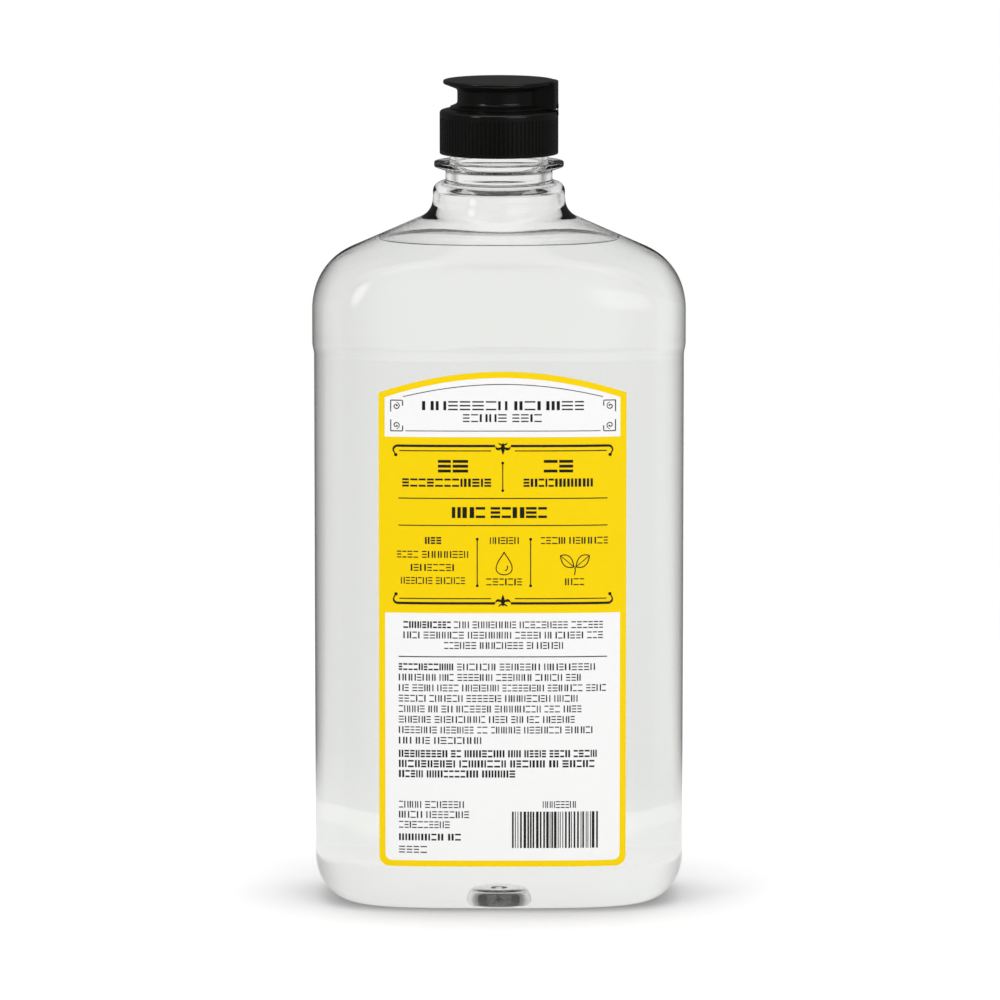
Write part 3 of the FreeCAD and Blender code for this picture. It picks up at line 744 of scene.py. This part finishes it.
def dot(x, z, radius):  # a round spot, as a very short wide stroke
    turns = [math.pi * i / 10 for i in range(11)]
    return stroke([(x - radius * math.cos(t), z) for t in turns], [2 * radius * math.sin(t) for t in turns])


def petal(start, pull, end, width):  # a leaf along a bent line, widest past its middle
    start, pull, end = (np.array(point, float) for point in (start, pull, end))
    shares = [i / 10 for i in range(11)]
    line = [(1 - t) ** 2 * start + 2 * t * (1 - t) * pull + t * t * end for t in shares]
    return stroke(line, [width * math.sin(math.pi * t ** 0.8) for t in shares])


def curl(x, z, radius, start, turns, width):  # a spiral that winds in to a dot
    points, widths = [], []
    for i in range(25):
        share = i / 24
        angle = start + 2 * math.pi * turns * share
        reach = radius * (1 - 0.72 * share)
        points.append((x + reach * math.cos(angle), z + reach * math.sin(angle)))
        widths.append(width * (0.55 + 0.45 * math.sin(math.pi * share)))
    return [stroke(points, widths), dot(points[-1][0], points[-1][1], width * 0.9)]


def fleur(x, z, way):  # three leaves and two short ones over a bud
    parts = [petal((x, z - 1.5 * way), (x, z), (x, z + 1.6 * way), 1.0)]
    for side in (-1, 1):
        parts.append(petal((x, z - 0.5 * way), (x + 1.6 * side, z + 0.7 * way), (x + 1.9 * side, z - 0.7 * way), 0.7))
        parts.append(petal((x, z - 1.0 * way), (x + 0.8 * side, z - 1.0 * way), (x + 1.2 * side, z - 1.6 * way), 0.4))
    return parts


def frameRules(thickZ, thinZ, way):  # a thick and a thin rule, broken by a fleur and curled at their ends
    p = printSize
    m = p["middle"]
    parts = []
    for side in (-1, 1):
        inner, outer, thinInner, thinOuter = (m + side * reach for reach in (2.0, 26.6, 3.0, 26.2))
        xs = np.linspace(inner, outer, 22)
        line = [(x, thickZ) for x in xs]
        turn = [math.pi / 2 * i / 6 for i in range(1, 7)]
        line += [(outer + side * 1.1 * math.sin(t), thickZ - way * 1.1 * (1 - math.cos(t))) for t in turn]
        line += [(line[-1][0] - side * 0.25 * s, line[-1][1] - way * 0.55 * s) for s in (1, 2)]
        parts.append(stroke(line, [p["thick"]] * len(xs) + [p["thick"] * (1 - 0.08 * i) for i in range(8)]))
        parts.append(dot(line[-1][0] - side * 0.15, line[-1][1] - way * 0.1, 0.42))
        parts.append(stroke([(x, thinZ) for x in np.linspace(thinInner, thinOuter, 20)], p["thin"]))
    return parts + fleur(m, (thickZ + thinZ) / 2 - 0.1 * way, -way)


def cornerScroll(x, z, across, way):  # a square corner turned into a curl
    p = printSize
    size = 2.9
    line = [(x, z - way * size), (x, z - way * size * 0.5), (x, z), (x + across * size * 0.5, z), (x + across * size, z)]
    hook = [(x + across * (size + 0.1), z - way * (0.5 - 0.5 * math.cos(t)) * 1.6) for t in (0.8, 1.6, 2.4)]
    parts = [stroke(line[:3], p["thin"]), stroke(line[2:] + hook, p["thin"])]
    return parts + curl(x + across * 1.35, z - way * 1.45, 0.95, math.pi / 2 * way, across * way * -1.15, p["thin"])


def divider(x, low, high):
    return [upright(x, low, high, printSize["thin"]), dot(x, low, 0.36), dot(x, high, 0.36)]


def dropFigure(x, z, size):  # a drop in outline with a shine line in it
    turns = [2 * math.pi * i / 28 for i in range(28)]
    outline = []
    for t in turns:
        out = size * math.sin(t) * math.sin(t / 2) ** 1.5
        outline.append((x - out, z + size * math.cos(t)))
    shine = [(x + size * 0.3 * math.cos(t), z - size * 0.35 + size * 0.3 * math.sin(t)) for t in np.linspace(-1.3, 0.5, 7)]
    return [stroke(outline, printSize["thin"], closed=True), stroke(shine, printSize["thin"])]


def leafFigure(x, z, size):  # two leaves on one stem
    parts = []
    for side in (-1, 1):
        tip = (x + side * size * 1.15, z + size * 0.55)
        root = (x + side * size * 0.08, z - size * 0.35)
        for pull in ((x + side * size * 0.25, z + size * 0.85), (x + side * size * 1.0, z - size * 0.6)):
            bend = [np.array(point, float) for point in (root, pull, tip)]
            shares = [i / 12 for i in range(13)]
            line = [(1 - t) ** 2 * bend[0] + 2 * t * (1 - t) * bend[1] + t * t * bend[2] for t in shares]
            parts.append(stroke(line, printSize["thin"]))
        parts.append(stroke([root, ((root[0] + tip[0]) / 2, (root[1] + tip[1]) / 2), tip], printSize["hair"]))
    parts.append(stroke([(x, z - size * 0.35), (x + 0.1, z - size * 0.6), (x - 0.1, z - size)], printSize["thin"]))
    return parts


def printStrokes():
    p = printSize
    left, right, m = p["ruleLeft"], p["ruleRight"], p["middle"]
    half = 25.2
    parts = [stroke([(x, 135.6 - 3.2 * ((x - m) / half) ** 2) for x in np.linspace(m - half, m + half, 40)], p["hair"])]
    for x, across in ((-27.3, 1), (29.4, -1)):
        parts += cornerScroll(x, 131.5, across, 1) + cornerScroll(x, 123.7, across, -1)
    parts.append(rule(m - 24.6, m + 24.6, 123.75, p["hair"]))
    parts += frameRules(119.95, 118.7, 1) + frameRules(79.8, 81.0, -1)
    parts += divider(m - 0.05, 108.6, 115.6) + divider(-5.5, 84.3, 96.2) + divider(8.0, 84.3, 96.2)
    parts += [rule(left, right, z, p["thin"]) for z in (106.6, 99.7, 66.1)]
    return joined(parts + dropFigure(1.3, 90.0, 2.9) + leafFigure(19.2, 90.2, 3.2))


carriedBy(meshObject("label_strokes", *printStrokes(), blackInk), "bottle", "label_film")
print("stage: label strokes")

# Rows of small plain marks stand where the words are, and bars where the bar code is. A node tree
# puts one mark on each point and lays it round the panel.
markSize = {"seed": 11, "gap": 0.26, "space": 0.62, "aspect": 0.62, "tickWidth": 0.28}
markKinds = {"pair": 0, "twin": 1, "block": 2, "triple": 3}


def boxPart(x0, x1, z0, z1):  # a box from y = -1, outside, to y = 0
    vertices = [(x, y, z) for y in (-1, 0) for z in (z0, z1) for x in (x0, x1)]
    faces = [(0, 1, 3, 2), (5, 4, 6, 7), (4, 0, 2, 6), (1, 5, 7, 3), (2, 3, 7, 6), (4, 5, 1, 0)]
    return vertices, faces


def markForms(weights):  # the four marks, one unit wide and high, once for each weight of line
    group = bpy.data.collections.new("marks")
    forms = []
    for across, level in weights:
        ends = [boxPart(-0.5, 0.5, -0.5, -0.5 + level), boxPart(-0.5, 0.5, 0.5 - level, 0.5)]
        twin = [boxPart(-0.5, -0.5 + across, -0.5, 0.5), boxPart(0.5 - across, 0.5, -0.5, 0.5)]
        bar = boxPart(-0.5, 0.5, -level / 2, level / 2)
        forms += [ends, twin, [boxPart(-0.5, 0.5, -0.5, 0.5)], ends + [bar]]
    for i, parts in enumerate(forms):
        vertices, faces = joined(parts)
        mesh = bpy.data.meshes.new("mark%d" % i)
        mesh.from_pydata(vertices, [], faces)
        group.objects.link(bpy.data.objects.new("mark%d" % i, mesh))
    return group


def wordsAcross(left, right, z, height, letters, chance):  # points and sizes of one row of words
    marks, x = [], left
    letter = height * markSize["aspect"]
    for count in letters:
        for _ in range(count):
            kind = chance.choice((0, 1, 3, 1, 3, 2))
            width = letter * (markSize["tickWidth"] if kind == markKinds["block"] else chance.uniform(0.8, 1.1))
            marks.append([x + width / 2, z, width, height, kind])
            x += width + markSize["gap"]
        x += markSize["space"]
    reach = x - markSize["space"] - markSize["gap"] - left
    scale = (right - left) / reach
    return [[left + (m[0] - left) * scale, m[1], m[2] * scale, m[3], m[4]] for m in marks]


def wordsFor(width, height, chance):  # word lengths that fill a row of that width
    letters, used = [], 0.0
    pitch = height * markSize["aspect"] * 0.9 + markSize["gap"]
    while used < width - 3 * pitch:
        count = chance.randint(2, 10)
        count = min(count, max(int((width - used) / pitch), 2))
        letters.append(count)
        used += count * pitch + markSize["space"]
    return letters


def textMarks():
    chance = random.Random(markSize["seed"])
    marks = []

    def row(left, right, z, height, letters=None, bold=False):
        letters = letters or wordsFor(right - left, height, chance)
        for mark in wordsAcross(left, right, z, height, letters, chance):
            marks.append(mark[:4] + [mark[4] + (4 if bold else 0)])

    row(-19.4, 21.4, 130.2, 2.3, (7, 8))
    row(-9.1, 10.8, 127.05, 2.0, (5, 4))
    for left, right, count in ((-15.4, -7.8, 2), (11.3, 18.7, 2)):
        row(left, right, 114.8, 3.2, (count,), True)
    row(-24.4, -2.0, 110.6, 2.1, (12,), True)
    row(6.2, 23.7, 110.6, 2.1, (10,), True)
    row(-11.9, 12.1, 103.0, 2.8, (3, 5), True)
    row(-18.7, -14.6, 95.85, 1.8, (3,), True)
    for left, right, z, letters in ((-25.8, -7.8, 92.3, (4, 8)), (-22.3, -11.4, 88.95, (8,)), (-24.8, -8.6, 85.6, (7, 6))):
        row(left, right, z, 1.75, letters)
    for left, right, z, letters in ((-2.3, 5.0, 95.85, (6,)), (-3.2, 5.8, 85.3, (7,))):
        row(left, right, z, 1.75, letters)
    for left, right, z, letters in ((10.6, 27.5, 95.85, (6, 7)), (16.7, 21.5, 85.3, (4,))):
        row(left, right, z, 1.75, letters)
    row(-24.2, -12.2, 74.3, 1.75, (10,), True)
    row(-11.4, 26.3, 74.3, 1.75)
    row(-24.2, 26.3, 71.65, 1.75)
    row(-13.9, 16.2, 69.0, 1.75)
    row(-25.4, -11.6, 63.5, 1.75, (11,), True)
    row(-10.6, 24.3, 63.5, 1.75)
    for i, right in enumerate((20.7, 27.1, 19.9, 20.9, 19.2, 23.7, -4.5), start=1):
        row(-25.4, right, 63.5 - 2.7 * i, 1.75)
    for z, right in ((41.2, 24.8), (38.6, 24.2), (36.0, 4.1)):
        row(-25.4, right, z, 1.85, None, True)
    for z, right, bold in ((28.1, -8.9, False), (25.5, -7.6, False), (22.9, -12.5, False), (19.7, -9.7, True), (16.5, -18.3, False)):
        row(-25.4, right, z, 1.75, None, bold)
    row(11.1, 19.5, 28.1, 1.75, (8,))
    x, bars = 3.3, (26.3, 16.9)
    while x < 25.2:
        width = chance.choice((0.22, 0.22, 0.44, 0.44, 0.66))
        marks.append([x + width / 2, sum(bars) / 2, width, bars[0] - bars[1], markKinds["block"]])
        x += width + chance.choice((0.22, 0.3, 0.44))
    return marks


def markTree():  # one mark on each point, then every corner laid on the film
    tree = bpy.data.node_groups.new("markRows", "GeometryNodeTree")
    face, nodes, links = tree.interface, tree.nodes, tree.links
    face.new_socket("Points", in_out="INPUT", socket_type="NodeSocketGeometry")
    face.new_socket("Marks", in_out="INPUT", socket_type="NodeSocketCollection")
    for name in ("Half Width", "Half Depth", "Exponent"):
        face.new_socket(name, in_out="INPUT", socket_type="NodeSocketFloat")
    face.new_socket("Ink", in_out="INPUT", socket_type="NodeSocketMaterial")
    face.new_socket("Geometry", in_out="OUTPUT", socket_type="NodeSocketGeometry")
    entry, leave = nodes.new("NodeGroupInput"), nodes.new("NodeGroupOutput")
    forms = addNode(nodes, "GeometryNodeCollectionInfo", {}, {"Separate Children": True, "Reset Children": True})
    size = addNode(nodes, "GeometryNodeInputNamedAttribute", {"data_type": "FLOAT_VECTOR"}, {"Name": "markSize"})
    kind = addNode(nodes, "GeometryNodeInputNamedAttribute", {"data_type": "INT"}, {"Name": "markKind"})
    place = addNode(nodes, "GeometryNodeInstanceOnPoints", {}, {"Pick Instance": True})
    real = nodes.new("GeometryNodeRealizeInstances")
    lay = nodes.new("GeometryNodeSetPosition")
    ink = nodes.new("GeometryNodeSetMaterial")
    position, split, merge = (nodes.new(k) for k in ("GeometryNodeInputPosition", "ShaderNodeSeparateXYZ", "ShaderNodeCombineXYZ"))
    links.new(entry.outputs["Points"], place.inputs["Points"])
    links.new(entry.outputs["Marks"], forms.inputs["Collection"])
    links.new(forms.outputs["Instances"], place.inputs["Instance"])
    links.new(next(s for s in size.outputs if s.enabled), place.inputs["Scale"])
    links.new(next(s for s in kind.outputs if s.enabled), place.inputs["Instance Index"])
    links.new(place.outputs["Instances"], real.inputs["Geometry"])
    links.new(position.outputs["Position"], split.inputs["Vector"])
    share = shaderMath(tree, "DIVIDE", shaderMath(tree, "ABSOLUTE", split.outputs["X"]), entry.outputs["Half Width"])
    rest = shaderMath(tree, "SUBTRACT", 1.0, shaderMath(tree, "POWER", share, entry.outputs["Exponent"]))
    depth = shaderMath(tree, "POWER", rest, shaderMath(tree, "DIVIDE", 1.0, entry.outputs["Exponent"]))
    front = shaderMath(tree, "MULTIPLY", depth, entry.outputs["Half Depth"])
    links.new(split.outputs["X"], merge.inputs["X"])
    links.new(shaderMath(tree, "SUBTRACT", split.outputs["Y"], front), merge.inputs["Y"])
    links.new(split.outputs["Z"], merge.inputs["Z"])
    links.new(real.outputs["Geometry"], lay.inputs["Geometry"])
    links.new(merge.outputs["Vector"], lay.inputs["Position"])
    links.new(lay.outputs["Geometry"], ink.inputs["Geometry"])
    links.new(entry.outputs["Ink"], ink.inputs["Material"])
    links.new(ink.outputs["Geometry"], leave.inputs["Geometry"])
    return tree


def layMarks():
    marks = textMarks()
    depth = (labelSize["sunk"] + labelSize["blackInk"]) * mm
    points = bpy.data.meshes.new("mark_points")
    points.from_pydata([(m[0] * mm, 0, m[1] * mm) for m in marks], [], [])
    size = points.attributes.new("markSize", "FLOAT_VECTOR", "POINT")
    size.data.foreach_set("vector", [value for m in marks for value in (m[2] * mm, depth, m[3] * mm)])
    kind = points.attributes.new("markKind", "INT", "POINT")
    kind.data.foreach_set("value", [m[4] for m in marks])
    rows = bpy.data.objects.new("label_marks", points)
    bpy.context.scene.collection.objects.link(rows)
    tree = markTree()
    modifier = rows.modifiers.new("rows", "NODES")
    modifier.node_group = tree
    lift = filmLift - labelSize["sunk"]
    values = {
        "Marks": markForms(((0.27, 0.16), (0.38, 0.23))),
        "Half Width": (panelLevel[0] + lift) * mm,
        "Half Depth": (panelLevel[1] + lift) * mm,
        "Exponent": panelLevel[2],
        "Ink": blackInk,
    }
    for socket in tree.interface.items_tree:
        if socket.name in values:
            modifier[socket.identifier] = values[socket.name]
    bpy.context.view_layer.update()
    settled = bpy.data.meshes.new_from_object(rows.evaluated_get(bpy.context.evaluated_depsgraph_get()))
    rows.modifiers.clear()
    rows.data = settled
    carriedBy(rows, "bottle", "label_film")
    print("stage: label marks", len(marks), "marks", len(settled.polygons), "faces")


layMarks()

# The moulded cap and the liner keep their CAD forms, and the strap between cap and lid is a strip, thinnest along the
# hinge line.
strapSize = {"inner": 14.8, "outer": 15.15, "half": 3.0, "line": 202.75, "reach": 1.3, "groove": 0.12, "spread": 0.4}
for node, material, slot in (
    ("cap_base", blackPlastic, "black_plastic"),
    ("cap_lid", blackPlastic, "black_plastic"),
    ("hinge_web", blackPlastic, "black_plastic"),
    ("cap_liner", linerFoam, "liner_foam"),
):
    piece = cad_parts[node]
    piece.data.materials.clear()
    piece.data.materials.append(material)


def strapForm():  # a strip that is thinnest along the hinge line
    s = strapSize
    rows, across = 20, 4
    vertices, faces = [], []
    for i in range(rows + 1):
        z = s["line"] - s["reach"] + 2 * s["reach"] * i / rows
        thinner = s["groove"] * math.exp(-((z - s["line"]) / s["spread"]) ** 2)
        for x in (s["inner"], s["outer"] - thinner):
            vertices += [(x, -s["half"] + 2 * s["half"] * k / across, z) for k in range(across + 1)]
    wide = across + 1

    def at(i, side, k):
        return (2 * i + side) * wide + k

    for i in range(rows):
        for k in range(across):
            faces.append((at(i, 1, k), at(i, 1, k + 1), at(i + 1, 1, k + 1), at(i + 1, 1, k)))
            faces.append((at(i, 0, k + 1), at(i, 0, k), at(i + 1, 0, k), at(i + 1, 0, k + 1)))
        faces.append((at(i, 0, 0), at(i, 1, 0), at(i + 1, 1, 0), at(i + 1, 0, 0)))
        faces.append((at(i, 1, across), at(i, 0, across), at(i + 1, 0, across), at(i + 1, 1, across)))
    for k in range(across):
        faces.append((at(0, 0, k), at(0, 0, k + 1), at(0, 1, k + 1), at(0, 1, k)))
        faces.append((at(rows, 0, k + 1), at(rows, 0, k), at(rows, 1, k), at(rows, 1, k + 1)))
    return vertices, faces


strap = meshObject("hinge_strap", *strapForm(), blackPlastic, sharpAngle=40)
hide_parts("hinge_web")
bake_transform(strap)
print("stage: cap")

# The studio: a pale floor with a painted contact shadow round the base, a backdrop that shades off to both sides and
# upwards, and soft lamps.
studioSize = {
    "floorReach": 3.0,
    "floorColor": 0.9,
    "nearGlow": 0.25,
    # glow, reach and power of the painted contact shadow that ambient occlusion draws into the floor's glow
    "paintedShadowGlow": 0.5,
    "paintedShadowReach": 0.16,
    "paintedShadowPower": 2.0,
    "farFrom": 0.2,
    "farTo": 0.5,
    "clearFrom": 0.1,
    "clearTo": 0.24,
    "fill": 0.5,
}
backdrops = {  # levels seen through clear stuff and in gloss
    "through": {"Level": 0.955, "Side Level": 0.42, "Front Level": 0.68, "Top Level": 0.5, "Lean": 0.15},
    "gloss": {"Level": 0.06, "Side Level": 1.7, "Front Level": 0.75, "Top Level": 2.6, "Lean": 0.0},
}
cards = {  # soft cards that gloss shows, by azimuth from the front towards +X and by elevation, in degrees
    "left": {"turn": -47, "rise": 20, "wide": 0.1, "tall": 0.24, "softness": 0.5, "roundness": 2.2, "level": 3.2},
    "right": {"turn": 34, "rise": 11, "wide": 0.36, "tall": 0.17, "softness": 0.35, "roundness": 4.0, "level": 1.5},
    "top": {"turn": 0, "rise": 64, "wide": 0.85, "tall": 0.24, "softness": 0.6, "roundness": 3.0, "level": 1.5},
}


def cardLevels(tree, direction):
    total = 0.0
    for s in cards.values():
        turn, rise = math.radians(s["turn"]), math.radians(s["rise"])
        towards = Vector((math.sin(turn) * math.cos(rise), -math.cos(turn) * math.cos(rise), math.sin(rise)))
        across = Vector((math.cos(turn), math.sin(turn), 0))
        group = addNode(tree.nodes, "ShaderNodeGroup", {"node_tree": cardGroup})
        for name, value in (("Towards", towards), ("Across", across), ("Up", across.cross(towards))):
            group.inputs[name].default_value = value
        for name, key in (("Half Width", "wide"), ("Half Height", "tall"), ("Softness", "softness"), ("Roundness", "roundness")):
            group.inputs[name].default_value = s[key]
        tree.links.new(direction, group.inputs["Direction"])
        total = shaderMath(tree, "MULTIPLY_ADD", group.outputs["Level"], s["level"], total)
    return total


def studioLevel(tree, direction, withCards=False):  # what camera, gloss and clear stuff see, and which rays see it
    path = tree.nodes.new("ShaderNodeLightPath")
    through = path.outputs["Is Transmission Ray"]
    gloss = shaderMath(tree, "MULTIPLY", path.outputs["Is Glossy Ray"], shaderMath(tree, "SUBTRACT", 1.0, through))
    total, seen = path.outputs["Is Camera Ray"], path.outputs["Is Camera Ray"]
    for ray, key in ((through, "through"), (gloss, "gloss")):
        group = addNode(tree.nodes, "ShaderNodeGroup", {"node_tree": backdropGroup})
        for name, value in backdrops[key].items():
            if name != "Level":
                group.inputs[name].default_value = value
        tree.links.new(direction, group.inputs["Direction"])
        level = shaderMath(tree, "MULTIPLY", group.outputs["Level"], backdrops[key]["Level"])
        if withCards and key == "gloss":
            level = shaderMath(tree, "ADD", level, cardLevels(tree, direction))
        total = shaderMath(tree, "MAXIMUM", total, shaderMath(tree, "MULTIPLY", level, ray))
        seen = shaderMath(tree, "MAXIMUM", seen, ray)
    return total, seen


def makeFloor():
    s = studioSize
    material, tree = newMaterial("floor")
    nodes, links = tree.nodes, tree.links
    place = nodes.new("ShaderNodeTexCoord")
    length = addNode(nodes, "ShaderNodeVectorMath", {"operation": "LENGTH"})
    links.new(place.outputs["Object"], length.inputs[0])
    far = addNode(nodes, "ShaderNodeMapRange", {"interpolation_type": "SMOOTHSTEP"})
    path = nodes.new("ShaderNodeLightPath")
    camera = path.outputs["Is Camera Ray"]
    for name, near, away in (("From Min", "clearFrom", "farFrom"), ("From Max", "clearTo", "farTo")):
        links.new(shaderMath(tree, "MULTIPLY_ADD", camera, s[away] - s[near], s[near]), far.inputs[name])
    links.new(length.outputs["Value"], far.inputs["Value"])
    level, seen = studioLevel(tree, place.outputs["Object"])
    farSeen = shaderMath(tree, "MULTIPLY", far.outputs["Result"], seen)
    tone = shaderMath(tree, "MULTIPLY_ADD", farSeen, -s["floorColor"], s["floorColor"])
    nearSeen = shaderMath(tree, "SUBTRACT", seen, farSeen)
    # painted contact shadow: ambient occlusion darkens the near floor's glow that the camera sees
    clear = addNode(nodes, "ShaderNodeAmbientOcclusion", {"samples": 8}, {"Distance": s["paintedShadowReach"]})
    lift = shaderMath(tree, "POWER", clear.outputs["AO"], s["paintedShadowPower"])
    lift = shaderMath(tree, "MULTIPLY_ADD", lift, s["paintedShadowGlow"], -s["nearGlow"])
    lift = shaderMath(tree, "MULTIPLY_ADD", lift, camera, s["nearGlow"])
    near = shaderMath(tree, "MULTIPLY", nearSeen, lift)
    diffuse = nodes.new("ShaderNodeBsdfDiffuse")
    glow = nodes.new("ShaderNodeEmission")
    both = nodes.new("ShaderNodeAddShader")
    out = nodes.new("ShaderNodeOutputMaterial")
    links.new(tone, diffuse.inputs["Color"])
    links.new(shaderMath(tree, "MULTIPLY_ADD", farSeen, level, near), glow.inputs["Strength"])
    links.new(diffuse.outputs[0], both.inputs[0])
    links.new(glow.outputs[0], both.inputs[1])
    links.new(both.outputs[0], out.inputs["Surface"])
    r = s["floorReach"] / mm
    floor = meshObject("floor", [(-r, -r, 0), (r, -r, 0), (r, r, 0), (-r, r, 0)], [(0, 1, 2, 3)], material)


def makeWorld():
    world = bpy.data.worlds.new("studio")
    bpy.context.scene.world = world
    world.use_nodes = True
    tree = world.node_tree
    tree.nodes.clear()
    place = tree.nodes.new("ShaderNodeTexCoord")
    level, seen = studioLevel(tree, place.outputs["Generated"], withCards=True)
    unseen = shaderMath(tree, "MULTIPLY_ADD", seen, -studioSize["fill"], studioSize["fill"])
    background = tree.nodes.new("ShaderNodeBackground")
    out = tree.nodes.new("ShaderNodeOutputWorld")
    tree.links.new(shaderMath(tree, "ADD", level, unseen), background.inputs["Strength"])
    background.inputs["Color"].default_value = (1, 1, 1, 1)
    tree.links.new(background.outputs[0], out.inputs["Surface"])


lamps = {
    "lamp_left": {"place": (-1.04, -1.09, 0.64), "wide": 0.4, "tall": 0.7, "power": 4.5},
    "lamp_right": {"place": (0.76, -1.36, 0.42), "wide": 1.1, "tall": 0.7, "power": 7.9},
    "lamp_top": {"place": (0.0, 0.1, 1.6), "wide": 1.2, "tall": 0.8, "power": 6.5},
}


def makeLamps():  # gloss shows the soft cards in their place
    target = Vector((0, 0, 0.11))
    for name, s in lamps.items():
        data = bpy.data.lights.new(name, "AREA")
        data.shape = "RECTANGLE"
        data.size, data.size_y, data.energy = s["wide"], s["tall"], s["power"]
        lamp = bpy.data.objects.new(name, data)
        bpy.context.scene.collection.objects.link(lamp)
        lamp.location = s["place"]
        lamp.rotation_euler = (target - Vector(s["place"])).to_track_quat("-Z", "Y").to_euler()
        lamp.visible_glossy = lamp.visible_transmission = False


cameraSize = {"place": (0, -1.9805, 0.3833), "aim": (0.00026, 0, 0.10237), "lens": 281.4, "sensor": 36}


def makeCamera():
    s = cameraSize
    camera = bpy.data.objects.new("camera", bpy.data.cameras.new("camera"))
    bpy.context.scene.collection.objects.link(camera)
    camera.data.lens = s["lens"]
    camera.data.sensor_width = s["sensor"]
    camera.location = s["place"]
    camera.rotation_euler = (Vector(s["aim"]) - camera.location).to_track_quat("-Z", "Y").to_euler()
    bpy.context.scene.camera = camera
    bpy.context.scene.view_settings.view_transform = "Standard"


makeFloor()
makeWorld()
makeLamps()
makeCamera()
print("stage: studio")
